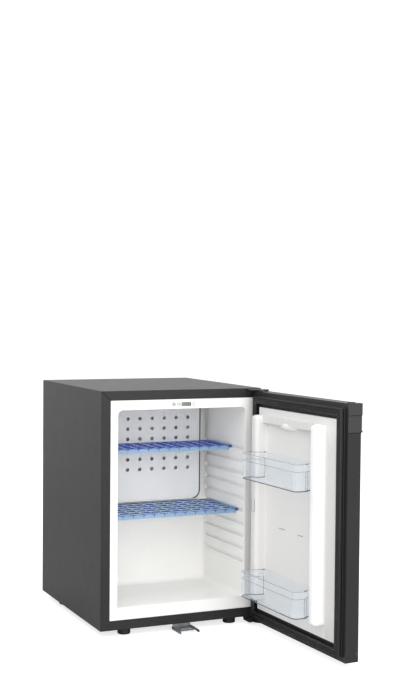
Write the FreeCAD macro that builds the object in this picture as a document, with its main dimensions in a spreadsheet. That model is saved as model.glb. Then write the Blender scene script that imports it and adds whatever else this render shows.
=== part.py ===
# Minibar fridge with its door standing open, in millimetres
# +Z is up, X runs across the front and Y to the back
# The origin is on the floor, under the middle of the cabinet's front face
import FreeCAD, Part
import Sketcher
import math
import os
import re

Vector = FreeCAD.Vector

# Driving dimensions: each becomes a named cell of the sheet
SIZES = {
    # cabinet casing of folded sheet
    "cabinet_width": 402,
    "cabinet_depth": 445,
    "cabinet_height": 545,
    "sheet_gauge": 1,
    "casing_round": 1.5,
    "frame_width": 22,
    "vent_inset": 40,
    "vent_depth": 100,
    # feet under the base pan
    "foot_height": 16,
    "foot_radius": 15,
    "foot_chamfer": 1.5,
    "foot_stem_radius": 4,
    "foot_stem_length": 8,
    "foot_inset": 67,
    "front_foot_setback": 27,
    "rear_foot_inset": 30,
    "rear_foot_setback": 98,
    # moulded white liner of the cabinet
    "side_wall": 40,
    "cavity_floor": 44,
    "cavity_head": 44,
    "cavity_depth": 240,
    "cavity_round": 12,
    "liner_wall": 2,
    "flange_tuck": 5,
    "sill_depth": 15,
    "sill_height": 6,
    "rear_foam": 52,
    # shelf grooves in the side walls
    "groove_head": 96.7,
    "groove_foot": 80,
    "groove_pitch": 29.7,
    "groove_height": 9,
    "groove_depth": 5,
    "groove_front": 10,
    "groove_end_gap": 11,
    # shelves of clear blue bars
    "shelf_back_gap": 28,
    "upper_shelf_depth": 127,
    "lower_shelf_depth": 166,
    "upper_shelf_rows": 5,
    "lower_shelf_rows": 6,
    "shelf_columns": 12,
    "upper_shelf_notch": 0,
    "lower_shelf_notch": 5,
    "shelf_bar": 3.6,
    "shelf_bar_height": 5,
    "shelf_apron": 10,
    "shelf_side_gap": 2,
    "running_gap": 0.3,
    # perforated baffle in front of the evaporator
    "baffle_side_gap": 22,
    "baffle_gauge": 2,
    "baffle_gap": 20,
    "baffle_height": 243,
    "baffle_head_gap": 3,
    "baffle_round": 20,
    "baffle_lip": 8,
    "baffle_hole_radius": 4.5,
    "baffle_edge": 22,
    "baffle_rows": 6,
    "baffle_column_pitch": 32.2,
    "baffle_row_pitch": 25.2,
    "baffle_shift": -6,
    "baffle_top_row": 41.5,
    "baffle_screw_inset": 11,
    "baffle_screw_rise": 40,
    # evaporator behind the baffle
    "fin_block_side_gap": 61,
    "fin_block_height": 110,
    "fin_block_base": 3,
    "fin_depth": 13,
    "fin_gauge": 1.2,
    "fin_count": 21,
    "evaporator_drop": 71,
    "boss_bend_gap": 20,
    "boss_height": 44,
    "boss_depth": 18,
    "plug_side_gap": 20,
    "plug_height": 60,
    # absorption cooling unit in the rear bay
    "unit_setback": 62,
    "cool_tube_radius": 7,
    "tube_bend": 15,
    "evaporator_boiler_gap": 35,
    "evaporator_lead": 25,
    "boiler_side_gap": 86,
    "boiler_radius": 34,
    "boiler_bottom": 95,
    "boiler_height": 240,
    "boiler_tube_radius": 9,
    "boiler_bend": 25,
    "heater_radius": 6,
    "heater_offset": 20,
    "heater_length": 130,
    "heater_stub": 15,
    "vessel_radius": 26,
    "vessel_round": 8,
    "vessel_level": 70,
    "vessel_side_gap": 26,
    "vessel_boiler_gap": 95,
    "condenser_top_gap": 50,
    "condenser_lead": 55,
    "condenser_side_gap": 76,
    "condenser_drop": 33,
    "condenser_fin": 40,
    "condenser_fin_gauge": 1,
    "condenser_fin_count": 14,
    "coil_side_gap": 51,
    "coil_boiler_gap": 75,
    "coil_drop": 60,
    "coil_pitch": 40,
    "coil_runs": 5,
    "cradle_half_depth": 30,
    "cradle_tab": 20,
    "cradle_gauge": 2,
    "bracket_width": 24,
    "bracket_height": 30,
    "controller_width": 46,
    "controller_height": 90,
    "controller_depth": 48,
    "controller_top_gap": 95,
    "controller_side_gap": 3,
    "controller_wall": 2,
    "inlet_width": 30,
    "inlet_height": 22,
    "inlet_depth": 14,
    "inlet_wall": 2,
    "inlet_rise": 14,
    "inlet_blade": 2,
    "inlet_blade_length": 8,
    # control strip in the liner's top flange
    "strip_left": -32,
    "strip_width": 66,
    "strip_height": 16,
    "strip_drop": 34,
    "strip_pocket": 13,
    "display_left": -5,
    "display_width": 24,
    "display_height": 9,
    "key_radius": 3,
    "key_flange": 0.8,
    "key_proud": 0.4,
    "key_travel": 0.8,
    "key_clearance": 0.3,
    "left_key_place": -24,
    "right_key_place": -11.4,
    "lamp_place": 25.3,
    "lamp_radius": 2.5,
    "board_setback": 5,
    "board_gauge": 1.6,
    # door
    "door_thickness": 33,
    "door_gap": 12,
    "edge_return": 12,
    "door_drop": 4,
    "door_head": 6,
    "door_open_angle": 92,
    "pin_inset": 11,
    "pin_setback": 14.5,
    "pin_radius": 4,
    "pin_clearance": 0.05,
    "pin_head_radius": 6,
    "pin_head": 1.4,
    "bush_radius": 7,
    "bush_length": 16,
    "bush_flange_radius": 9,
    "bush_flange": 1,
    "hinge_gauge": 3,
    "hinge_lobe": 16,
    "hinge_width": 38,
    "hinge_tab": 14,
    "hinge_tab_gauge": 2.4,
    "hinge_foot": 44,
    "screw_radius": 2,
    "screw_head_radius": 3.8,
    "screw_head": 2,
    "screw_edge": 8,
    "panel_inset": 35,
    "panel_step": 6,
    "hinge_rib_inset": 44,
    "free_rib_inset": 71,
    "rib_width": 27,
    "rib_height": 34,
    "rib_round": 9,
    "rib_bottom": 62,
    "rib_top_gap": 51,
    "bar_height": 16,
    "bar_depth": 18,
    # seal round the door
    "gasket_inset": 10,
    "gasket_lip": 3,
    "gasket_neck_inset": 16,
    "gasket_neck": 5,
    "gasket_head_inset": 11,
    "gasket_head": 15,
    "gasket_neck_height": 4,
    "gasket_squeeze": 0.3,
    "magnet_width": 7,
    "magnet_gauge": 2,
    # door bins of clear plastic
    "bin_height": 59,
    "bin_wall": 2,
    "bin_side_gap": 5,
    "bin_overlap": 10,
    "bin_reach": 70,
    "bin_round": 12,
    "bin_band": 16,
    "bin_band_proud": 1,
    "upper_bin_drop": 135,
    "lower_bin_bottom": 77,
    "bin_clearance": 1,
    "hook_radius": 4,
    "hook_clearance": 0.4,
    "hook_rise": 42,
    "hook_setback": 19,
    "ear_width": 12,
    "ear_height": 7,
    # cap, plug, lock and strike
    "cap_height": 61,
    "cap_block": 25,
    "cap_proud": 0.8,
    "cap_block_proud": 1.6,
    "cap_return": 14,
    "cap_lip": 2.4,
    "cap_lip_height": 4,
    "plug_head_radius": 8,
    "plug_head": 2,
    "plug_stem_radius": 5.5,
    "plug_stem": 6,
    "lock_rise": 22,
    "lock_body": 7,
    "lock_body_height": 36,
    "lock_wall": 2,
    "lock_tube_radius": 11,
    "rosette_radius": 14,
    "rosette": 1.5,
    "barrel_radius": 8,
    "keyway_width": 1.8,
    "keyway_height": 9,
    "keyway_depth": 4,
    "cam_length": 30,
    "cam_width": 12,
    "cam_gauge": 3,
    "cam_room": 1.1,
    "strike_width": 44,
    "strike_gauge": 2,
    "strike_drop": 6,
    "strike_reach": 38,
    "strike_prong": 48,
    "strike_flange": 6,
    "strike_foot": 42,
    "strike_slot_width": 30,
    "strike_slot": 9,
    # how far a cutting shape runs past the face that it cuts
    "overrun": 1,
}

# Sizes that follow from the others
DERIVED = {
    "cavity_width": "(cabinet_width - 2*side_wall)",
    "cavity_top": "(foot_height + cabinet_height - cavity_head)",
    "baffle_width": "(cavity_width - 2*baffle_side_gap)",
    "baffle_columns": "(floor((baffle_width - 2*baffle_edge)/baffle_column_pitch) + 1)",
    "boiler_offset": "(cabinet_width/2 - boiler_side_gap)",
    "evaporator_span": "(boiler_offset - evaporator_boiler_gap)",
    "fin_block_width": "(cavity_width - 2*fin_block_side_gap)",
    "boss_width": "(2*evaporator_span - 2*boss_bend_gap)",
    "plug_width": "(2*evaporator_span + 2*plug_side_gap)",
    "vessel_left": "(cabinet_width/2 - vessel_side_gap)",
    "vessel_right": "(boiler_offset - vessel_boiler_gap)",
    "condenser_level": "(cabinet_height - condenser_top_gap)",
    "condenser_start": "(boiler_offset - condenser_lead)",
    "condenser_left": "(cabinet_width/2 - condenser_side_gap)",
    "evaporator_level": "(cabinet_height - cavity_floor - cavity_head - evaporator_drop)",
    "controller_bottom": "(cabinet_height - controller_top_gap - controller_height)",
    "strip_level": "(cabinet_height - strip_drop)",
    "recess_width": "(cabinet_width - hinge_rib_inset - free_rib_inset - 2*rib_width)",
    "bin_back_width": "(recess_width - 2*bin_side_gap)",
    "bin_front_width": "(bin_back_width + 2*bin_overlap)",
    "hook_length": "(bin_side_gap - hook_clearance)",
    "upper_bin_bottom": "(cabinet_height + door_drop - door_head - upper_bin_drop - bin_height)",
}

doc = FreeCAD.newDocument("minibar_fridge")
sheet = doc.addObject("Spreadsheet::Sheet", "Sizes")
for row, (alias, number) in enumerate(SIZES.items(), 1):
    sheet.set("A%d" % row, alias)
    sheet.set("B%d" % row, str(number))
    sheet.setAlias("B%d" % row, alias)
doc.recompute()

nodes = {}


def bind(text):
    """Point every size named in an expression at its cell."""

    def cell(match):
        word = match.group()
        if word in DERIVED:
            return bind(DERIVED[word])
        return "Sizes." + word if word in SIZES else word

    return re.sub(r"[a-z_]+", cell, text)


def size(alias):
    """A size's number, for shapes that are built point by point."""
    return float(sheet.get(alias))


def place(thing, at):
    """Bind an object's position to three expressions."""
    for axis, text in zip("xyz", at):
        thing.setExpression("Placement.Base." + axis, bind(text))
    return thing


def box(at, extent):
    """A block from its lowest corner and its three extents."""
    thing = doc.addObject("Part::Box", "Block")
    for side, text in zip(("Length", "Width", "Height"), extent):
        thing.setExpression(side, bind(text))
    return place(thing, at)


TURNS = {
    "x": FreeCAD.Rotation(Vector(0, 1, 0), 90),
    "y": FreeCAD.Rotation(Vector(1, 0, 0), -90),
    "z": FreeCAD.Rotation(),
}


def rod(at, radius, length, along="z"):
    """A round bar from the centre of its first end."""
    thing = doc.addObject("Part::Cylinder", "Rod")
    thing.setExpression("Radius", bind(radius))
    thing.setExpression("Height", bind(length))
    thing.Placement = FreeCAD.Placement(Vector(), TURNS[along])
    return place(thing, at)


def joined(*things):
    """One solid from things that meet."""
    thing = doc.addObject("Part::MultiFuse", "Joined")
    thing.Shapes = list(things)
    thing.Refine = True
    return thing


def minus(base, *tools):
    """A base with tools cut away."""
    thing = doc.addObject("Part::Cut", "Trimmed")
    thing.Base = base
    thing.Tool = tools[0] if len(tools) == 1 else joined(*tools)
    thing.Refine = True
    return thing


def overlap(first, second):
    """What two things share."""
    thing = doc.addObject("Part::Common", "Shared")
    thing.Base = first
    thing.Tool = second
    return thing


def group(things):
    """Separate solids that share one node."""
    thing = doc.addObject("Part::Compound", "Group")
    thing.Links = list(things)
    return thing


def rounded(base, radius, wanted):
    """A base with the edges that the test picks rounded."""
    doc.recompute()
    thing = doc.addObject("Part::Fillet", "Rounded")
    thing.Base = base
    edges = enumerate(base.Shape.Edges, 1)
    thing.Edges = [(index, radius, radius) for index, edge in edges if wanted(edge)]
    return thing


def solid(shape):
    """A shape that was built point by point, as an object."""
    thing = doc.addObject("Part::Feature", "Shape")
    thing.Shape = shape
    return thing


def direction(edge):
    """A straight edge's direction as x, y or z."""
    span = edge.BoundBox
    return max(("x", span.XLength), ("y", span.YLength), ("z", span.ZLength), key=lambda pair: pair[1])[0]


def node(label, thing):
    """Name a finished piece."""
    thing.Label = label
    nodes[label] = thing
    return thing


def door_node(label, thing):
    """Name a piece that was drawn with the door shut and the hinge pin at zero, and swing it open."""
    place(thing, (PIN_X, PIN_Y, DOOR_BOTTOM))
    thing.setExpression("Placement.Rotation.Angle", bind("door_open_angle"))
    return node(label, thing)


def origin_plane(body, role):
    """One of a body's own origin planes."""
    return next(feature for feature in body.Origin.OriginFeatures if feature.Role == role)


def sketch(body, role, points):
    """A closed outline on an origin plane, each corner bound to two expressions."""
    thing = body.newObject("Sketcher::SketchObject", "Outline")
    thing.AttachmentSupport = [(origin_plane(body, role), "")]
    thing.MapMode = "FlatFace"
    count = len(points)
    for index in range(count):
        turn = 2 * math.pi * index / count
        following = 2 * math.pi * (index + 1) / count
        start = Vector(math.cos(turn), math.sin(turn), 0)
        end = Vector(math.cos(following), math.sin(following), 0)
        thing.addGeometry(Part.LineSegment(start, end))
    for index in range(count):
        thing.addConstraint(Sketcher.Constraint("Coincident", index, 2, (index + 1) % count, 1))
    for index, corner in enumerate(points):
        for kind, text in zip(("DistanceX", "DistanceY"), corner):
            mark = thing.addConstraint(Sketcher.Constraint(kind, -1, 1, index, 1, 1.0))
            thing.setExpression("Constraints[%d]" % mark, bind(text))
    return thing


def ring(outer_inset, inner_inset, low, high):
    """A frame round the door's inner face between two insets and two depths."""
    outer = door_block(outer_inset, low, high)
    inner = door_block(inner_inset, low + " - overrun", high + " + overrun")
    return minus(outer, inner)


def door_block(inset, low, high):
    """A block over the shut door's face, set in from its edges by the same amount all round."""
    at = (DOOR_FREE + " + " + inset, low, inset)
    extent = ("cabinet_width - 2*(%s)" % inset, "(%s) - (%s)" % (high, low), DOOR_TALL + " - 2*(%s)" % inset)
    return box(at, extent)


def tube(points, radius, bend):
    """A round tube along straight runs joined by tangent arcs."""
    edges = []
    start = points[0]
    length = 0
    for before, corner, after in zip(points, points[1:], points[2:]):
        inward = (corner - before).normalize()
        outward = (after - corner).normalize()
        half = inward.getAngle(outward) / 2
        enter = corner - inward * (bend * math.tan(half))
        leave = corner + outward * (bend * math.tan(half))
        middle = corner + (outward - inward).normalize() * (bend / math.cos(half) - bend)
        edges.append(Part.LineSegment(start, enter).toShape())
        edges.append(Part.Arc(enter, middle, leave).toShape())
        start = leave
    edges.append(Part.LineSegment(start, points[-1]).toShape())
    path = Part.Wire(edges)
    mouth = Part.Wire([Part.makeCircle(radius, points[0], points[1] - points[0])])
    shape = path.makePipeShell([mouth], True, False)
    expected = math.pi * radius ** 2 * path.Length
    if abs(shape.Volume / expected - 1) > TUBE_TOLERANCE_SHARE:
        raise RuntimeError("a tube's volume is not its section times its length")
    return solid(shape)


TUBE_TOLERANCE_SHARE = 0.01

# Places that several pieces share
SHELL = "foot_height"
REAR = "(cavity_depth + liner_wall + rear_foam)"
BAY = "(cavity_depth + liner_wall + rear_foam + sheet_gauge)"
UNIT = "(cavity_depth + liner_wall + rear_foam + sheet_gauge + unit_setback)"
CAVITY_LOW = "(foot_height + cavity_floor)"
CAVITY_TALL = "(cabinet_height - cavity_floor - cavity_head)"
PIN_X = "(cabinet_width/2 - pin_inset)"
PIN_Y = "(-door_gap - pin_setback)"
DOOR_BOTTOM = "(foot_height - door_drop)"
DOOR_TALL = "(cabinet_height + door_drop - door_head)"
DOOR_FREE = "(pin_inset - cabinet_width)"
DOOR_INNER = "pin_setback"
DOOR_OUTER = "(pin_setback - door_thickness)"
DOOR_MIDDLE = "(pin_inset - cabinet_width/2)"
PANEL = "(pin_setback + panel_step)"

# Baffle screws, feet and hinge screws: where their holes are cut
BAFFLE_FRONT = "(cavity_depth - baffle_gap - baffle_gauge)"
BAFFLE_LOW = "(cavity_top - baffle_head_gap - baffle_height)"
BAFFLE_TALL = "baffle_height"
BAFFLE_SIDE = "(baffle_width/2 - baffle_screw_inset)"
BAFFLE_SCREWS = [
    (side + BAFFLE_SIDE, BAFFLE_LOW + height)
    for side in ("-", "")
    for height in (" + baffle_screw_rise", " + %s - baffle_screw_rise" % BAFFLE_TALL)
]
FEET = {
    "front_left_foot": ("foot_inset - cabinet_width/2", "front_foot_setback"),
    "front_right_foot": ("cabinet_width/2 - foot_inset", "front_foot_setback"),
    "rear_left_foot": ("rear_foot_inset - cabinet_width/2", "cabinet_depth - rear_foot_setback"),
    "rear_right_foot": ("cabinet_width/2 - rear_foot_inset", "cabinet_depth - rear_foot_setback"),
}
HINGE_LEFT = "(cabinet_width/2 - hinge_width - sheet_gauge)"
HINGE_FOOT = "(2*hinge_gauge + hinge_foot)"
UPPER_SCREWS = [HINGE_LEFT + " + screw_edge", HINGE_LEFT + " + hinge_width - screw_edge"]
LOWER_SCREWS = [
    (HINGE_LEFT + " + screw_edge", HINGE_FOOT + " - screw_edge"),
    (HINGE_LEFT + " + hinge_width - screw_edge", HINGE_FOOT + " - screw_edge"),
    (HINGE_LEFT + " + hinge_width/2", HINGE_FOOT + " - 3*screw_edge"),
]
STRIKE_SCREWS = [
    (side + "(strike_width/2 - screw_edge)", "strike_foot - screw_edge") for side in ("-", "")
]
HINGE_PLATE = "(foot_height + cabinet_height - door_head + bush_flange + running_gap)"
UPPER_SCREW_LEVEL = "(%s - screw_head_radius - running_gap)" % HINGE_PLATE
LOWER_PLATE = "(foot_height - door_drop - bush_flange - running_gap)"

# Cabinet casing: a wrapper over the sides and top, a base pan and a rear panel
outside = box(("-cabinet_width/2", "0", SHELL), ("cabinet_width", "cabinet_depth", "cabinet_height"))


def casing_edge(edge):
    """The casing's front edges and its two long top edges."""
    span = edge.BoundBox
    top = span.ZMin > size("foot_height") + size("cabinet_height") / 2
    front = span.YMax < size("cabinet_depth") / 2
    return (front and (top or direction(edge) == "z")) or (top and direction(edge) == "y")


wrapper = minus(
    rounded(outside, size("casing_round"), casing_edge),
    box(
        ("sheet_gauge - cabinet_width/2", "sheet_gauge", SHELL + " - overrun"),
        ("cabinet_width - 2*sheet_gauge", "cabinet_depth", "cabinet_height - sheet_gauge + overrun"),
    ),
    box(
        ("frame_width - cabinet_width/2", "-overrun", SHELL + " - overrun"),
        ("cabinet_width - 2*frame_width", "sheet_gauge + 2*overrun", "cabinet_height - frame_width + overrun"),
    ),
    *[rod((x, "-overrun", UPPER_SCREW_LEVEL), "screw_radius", "3*overrun", "y") for x in UPPER_SCREWS],
)
node("cabinet_wrapper", wrapper)

pan_floor = box(
    ("sheet_gauge - cabinet_width/2", "sheet_gauge", SHELL),
    ("cabinet_width - 2*sheet_gauge", "cabinet_depth - sheet_gauge", "sheet_gauge"),
)
front_rail = box(
    ("frame_width - cabinet_width/2", "0", SHELL),
    ("cabinet_width - 2*frame_width", "sheet_gauge", "frame_width"),
)
pan_holes = [rod((x, y, SHELL + " - overrun"), "foot_stem_radius", "3*overrun") for x, y in FEET.values()]
pan_holes += [
    rod((x, y, SHELL + " - overrun"), "screw_radius", "3*overrun") for x, y in LOWER_SCREWS + STRIKE_SCREWS
]
vent = box(
    ("foot_inset + vent_inset - cabinet_width/2", BAY + " + sheet_gauge", SHELL + " - overrun"),
    ("cabinet_width - 2*foot_inset - 2*vent_inset", "vent_depth", "3*overrun"),
)
node("base_pan", minus(joined(pan_floor, front_rail), vent, *pan_holes))


def rear_window(low, depth):
    """The opening for the evaporator's plug."""
    return box(
        ("-plug_width/2", low, SHELL + " + evaporator_level + cavity_floor - plug_height/2"),
        ("plug_width", depth, "plug_height"),
    )


rear_sheet = box(
    ("sheet_gauge - cabinet_width/2", REAR, SHELL + " + sheet_gauge"),
    ("cabinet_width - 2*sheet_gauge", "sheet_gauge", "cabinet_height - 2*sheet_gauge"),
)
node("rear_panel", minus(rear_sheet, rear_window(REAR + " - overrun", "3*overrun")))


# Cabinet liner: a moulded tub with a front flange and ten shelf grooves a side
def tub(grow):
    """The cavity's rounded block, grown by a wall."""
    block = box(
        ("-cavity_width/2 - " + grow, "sheet_gauge", CAVITY_LOW + " - " + grow),
        ("cavity_width + 2*" + grow, "cavity_depth - sheet_gauge + " + grow, CAVITY_TALL + " + 2*" + grow),
    )
    front = size("cavity_depth") / 2
    radius = size("cavity_round") + (size(grow) if grow in SIZES else 0)
    return rounded(block, radius, lambda edge: edge.BoundBox.YMax > front)


def grooves(grow):
    """Every shelf groove, grown by a wall."""
    blocks = []
    room = size("cabinet_height") - size("cavity_floor") - size("cavity_head")
    room -= size("groove_head") + size("groove_foot")
    for notch in range(int(room // size("groove_pitch")) + 1):
        for left in ("-cavity_width/2 - groove_depth - " + grow, "cavity_width/2 - overrun"):
            at = (
                left,
                "groove_front - " + grow,
                "cavity_top - groove_head - groove_height - %d*groove_pitch - %s" % (notch, grow),
            )
            extent = (
                "groove_depth + overrun + " + grow,
                "cavity_depth - groove_end_gap - groove_front + 2*" + grow,
                "groove_height + 2*" + grow,
            )
            blocks.append(box(at, extent))
    return joined(*blocks)


tub_outside = tub("liner_wall")
grooves_outside = grooves("liner_wall")
flange = box(
    ("frame_width - flange_tuck - cabinet_width/2", "sheet_gauge", SHELL + " + frame_width - flange_tuck"),
    (
        "cabinet_width - 2*frame_width + 2*flange_tuck",
        "liner_wall",
        "cabinet_height - 2*frame_width + 2*flange_tuck",
    ),
)
sill = box(("-cavity_width/2", "sheet_gauge", CAVITY_LOW), ("cavity_width", "sill_depth", "sill_height"))


def boss_block(low, depth):
    """The evaporator's rear boss, which passes through the liner."""
    return box(
        ("-boss_width/2", low, SHELL + " + cavity_floor + evaporator_level - boss_height/2"),
        ("boss_width", depth, "boss_height"),
    )


def strip_block(low, depth):
    """The control strip's outline in the top flange."""
    return box(
        ("strip_left", low, SHELL + " + strip_level - strip_height/2"),
        ("strip_width", depth, "strip_height"),
    )


mouth = box(
    ("-cavity_width/2", "-overrun", CAVITY_LOW),
    ("cavity_width", "overrun + sheet_gauge + cavity_round", CAVITY_TALL),
)
mouth = rounded(mouth, size("cavity_round"), lambda edge: direction(edge) == "y")
tub_inside = tub("0")
liner = minus(
    joined(tub_outside, grooves_outside, flange),
    tub_inside,
    grooves("0"),
    mouth,
    boss_block("cavity_depth - overrun", "liner_wall + 2*overrun"),
    strip_block("sheet_gauge - overrun", "liner_wall + 2*overrun"),
)
node("cabinet_liner", joined(liner, overlap(sill, tub_inside)))

# Insulation between casing and liner
foam_block = box(
    ("sheet_gauge - cabinet_width/2", "sheet_gauge + liner_wall", SHELL + " + sheet_gauge"),
    (
        "cabinet_width - 2*sheet_gauge",
        REAR + " - sheet_gauge - liner_wall",
        "cabinet_height - 2*sheet_gauge",
    ),
)
stem_holes = [
    rod((x, y, SHELL), "foot_stem_radius", "foot_stem_length")
    for label, (x, y) in FEET.items()
    if label.startswith("front")
]
strip_pocket = strip_block("sheet_gauge + liner_wall - overrun", "strip_pocket + overrun")
plug_room = rear_window("cavity_depth", "liner_wall + rear_foam + overrun")
node("cabinet_foam", minus(foam_block, tub_outside, grooves_outside, strip_pocket, plug_room, *stem_holes))

# Feet: round pads with a stem through the base pan
for label, (x, y) in FEET.items():
    body = doc.addObject("PartDesign::Body", label)
    profile = sketch(
        body,
        "XZ_Plane",
        [
            ("0", "0"),
            ("foot_radius - foot_chamfer", "0"),
            ("foot_radius", "foot_chamfer"),
            ("foot_radius", "foot_height"),
            ("foot_stem_radius", "foot_height"),
            ("foot_stem_radius", "foot_height + foot_stem_length"),
            ("0", "foot_height + foot_stem_length"),
        ],
    )
    turned = body.newObject("PartDesign::Revolution", "Turned")
    turned.Profile = profile
    turned.ReferenceAxis = (profile, ["V_Axis"])
    place(body, (x, y, "0"))
    node(label, body)

# Baffle plate: a perforated sheet with a drip lip, held off the back wall by four long screws
baffle = doc.addObject("PartDesign::Body", "Baffle")
face = sketch(
    baffle,
    "XZ_Plane",
    [
        ("-baffle_width/2", "0"),
        ("baffle_width/2", "0"),
        ("baffle_width/2", BAFFLE_TALL),
        ("-baffle_width/2", BAFFLE_TALL),
    ],
)
pad = baffle.newObject("PartDesign::Pad", "Sheet")
pad.Profile = face
pad.setExpression("Length", bind("baffle_gauge"))
doc.recompute()
corners = [
    "Edge%d" % index
    for index, edge in enumerate(pad.Shape.Edges, 1)
    if direction(edge) == "y" and edge.BoundBox.ZMax < size("baffle_height") / 2
]
softened = baffle.newObject("PartDesign::Fillet", "LowerCorners")
softened.Base = (pad, corners)
softened.setExpression("Radius", bind("baffle_round"))
doc.recompute()
first_hole = baffle.newObject("Sketcher::SketchObject", "FirstHole")
first_hole.AttachmentSupport = [(origin_plane(baffle, "XZ_Plane"), "")]
first_hole.MapMode = "FlatFace"
first_hole.addGeometry(Part.Circle(Vector(), Vector(0, 0, 1), 1))
for kind, text in (
    ("DistanceX", "baffle_shift - (baffle_columns - 1)*baffle_column_pitch/2"),
    ("DistanceY", BAFFLE_TALL + " + baffle_head_gap - baffle_top_row - (baffle_rows - 1)*baffle_row_pitch"),
):
    mark = first_hole.addConstraint(Sketcher.Constraint(kind, -1, 1, 0, 3, 1.0))
    first_hole.setExpression("Constraints[%d]" % mark, bind(text))
mark = first_hole.addConstraint(Sketcher.Constraint("Radius", 0, 1.0))
first_hole.setExpression("Constraints[%d]" % mark, bind("baffle_hole_radius"))
doc.recompute()
punched = baffle.newObject("PartDesign::Pocket", "Punched")
punched.Profile = first_hole
punched.Type = "ThroughAll"
punched.Midplane = True
doc.recompute()


def grid(body, feature, outline, counts, pitches):
    """Repeat a pocket in rows and columns."""
    pattern = body.newObject("PartDesign::MultiTransform", "Grid")
    pattern.Originals = [feature]
    rows = []
    for axis, count, pitch in zip(("H_Axis", "V_Axis"), counts, pitches):
        line = body.newObject("PartDesign::LinearPattern", "Line")
        line.Direction = (outline, [axis])
        line.setExpression("Length", bind("(%s - 1)*(%s)" % (count, pitch)))
        line.setExpression("Occurrences", bind(count))
        rows.append(line)
    pattern.Transformations = rows
    body.Tip = pattern
    return pattern


grid(
    baffle,
    punched,
    first_hole,
    ("baffle_columns", "baffle_rows"),
    ("baffle_column_pitch", "baffle_row_pitch"),
)
place(baffle, ("0", BAFFLE_FRONT + " + baffle_gauge", BAFFLE_LOW))
drip_lip = box(
    ("baffle_round - baffle_width/2", BAFFLE_FRONT + " - baffle_lip", BAFFLE_LOW),
    ("baffle_width - 2*baffle_round", "baffle_lip", "baffle_gauge"),
)
baffle_holes = [
    rod((x, BAFFLE_FRONT + " - overrun", z), "screw_radius", "baffle_gauge + 2*overrun", "y")
    for x, z in BAFFLE_SCREWS
]
node("baffle_plate", minus(joined(baffle, drip_lip), *baffle_holes))


def screw(x, y, z, length, along, backwards=False):
    """A pan-head screw: its head stands before the given face and its shank runs along the axis."""
    at = dict(zip("xyz", (x, y, z)))
    head = dict(at)
    head[along] = "%s %s" % (at[along], "" if backwards else "- screw_head")
    shank = dict(at)
    if backwards:
        shank[along] = "%s - (%s)" % (at[along], length)
    return joined(
        rod(tuple(head.values()), "screw_head_radius", "screw_head", along),
        rod(tuple(shank.values()), "screw_radius", length, along),
    )


node(
    "baffle_screws",
    group([screw(x, BAFFLE_FRONT, z, "baffle_gap + baffle_gauge", "y") for x, z in BAFFLE_SCREWS]),
)

# Evaporator: a finned block in the cavity with a boss round the cold tube
EVAPORATOR = SHELL + " + cavity_floor + evaporator_level"
EVAPORATOR_TUBE = "(cavity_depth + liner_wall + cool_tube_radius + running_gap)"
fin_pieces = [
    box(
        ("-fin_block_width/2", "cavity_depth - fin_block_base", EVAPORATOR + " - fin_block_height/2"),
        ("fin_block_width", "fin_block_base", "fin_block_height"),
    ),
    boss_block("cavity_depth", "boss_depth"),
]
for index in range(int(size("fin_count"))):
    step = "%d*(fin_block_width - fin_gauge)/(fin_count - 1)" % index
    at = (
        "-fin_block_width/2 + " + step,
        "cavity_depth - fin_block_base - fin_depth",
        EVAPORATOR + " - fin_block_height/2",
    )
    fin_pieces.append(box(at, ("fin_gauge", "fin_depth", "fin_block_height")))
cold_bore = rod(
    ("-boss_width/2 - overrun", EVAPORATOR_TUBE, EVAPORATOR),
    "cool_tube_radius",
    "boss_width + 2*overrun",
    "x",
)
node("evaporator_fins", minus(joined(*fin_pieces), cold_bore))

# Cooling unit: tubes are drawn point by point from the same sizes
unit_y = (
    size("cavity_depth") + size("liner_wall") + size("rear_foam")
    + size("sheet_gauge") + size("unit_setback")
)
shell_z = size("foot_height")
cold_z = shell_z + size("cabinet_height") - size("cavity_head") - size("evaporator_drop")
cold_y = size("cavity_depth") + size("liner_wall") + size("cool_tube_radius") + size("running_gap")
lead_y = unit_y - size("evaporator_lead")
half_width = size("cabinet_width") / 2
boiler_x = half_width - size("boiler_side_gap")
span = boiler_x - size("evaporator_boiler_gap")
condenser_x = boiler_x - size("condenser_lead")
condenser_turn_x = size("condenser_side_gap") - half_width
coil_x = [size("coil_side_gap") - half_width, boiler_x - size("coil_boiler_gap")]
coil_z = cold_z - size("coil_drop")
evaporator_tube = tube(
    [
        Vector(span, lead_y, cold_z),
        Vector(span, cold_y, cold_z),
        Vector(-span, cold_y, cold_z),
        Vector(-span, lead_y, cold_z),
    ],
    size("cool_tube_radius"),
    size("tube_bend"),
)
node("evaporator_tube", evaporator_tube)
plug_block = rear_window("cavity_depth + liner_wall", "rear_foam + sheet_gauge")
plug_boss = boss_block("cavity_depth", "boss_depth")
node("evaporator_plug", minus(plug_block, evaporator_tube, plug_boss))

condenser_z = shell_z + size("cabinet_height") - size("condenser_top_gap")
return_z = condenser_z - size("condenser_drop")
node(
    "condenser_tube",
    tube(
        [
            Vector(condenser_x, unit_y, condenser_z),
            Vector(condenser_turn_x, unit_y, condenser_z),
            Vector(condenser_turn_x, unit_y, return_z),
            Vector(span, unit_y, return_z),
            Vector(span, unit_y, cold_z),
            Vector(span, lead_y, cold_z),
        ],
        size("cool_tube_radius"),
        size("tube_bend"),
    ),
)
CONDENSER = SHELL + " + condenser_level"
condenser_fins = []
for index in range(int(size("condenser_fin_count"))):
    room = "(condenser_start + condenser_left - 2*tube_bend - condenser_fin_gauge)"
    x = "tube_bend - condenser_left + %d*%s/(condenser_fin_count - 1)" % (index, room)
    plate = box(
        (x, UNIT + " - condenser_fin/2", CONDENSER + " - condenser_fin/2"),
        ("condenser_fin_gauge", "condenser_fin", "condenser_fin"),
    )
    bore = rod((x + " - overrun", UNIT, CONDENSER), "cool_tube_radius", "condenser_fin_gauge + 2*overrun", "x")
    condenser_fins.append(minus(plate, bore))
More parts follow.
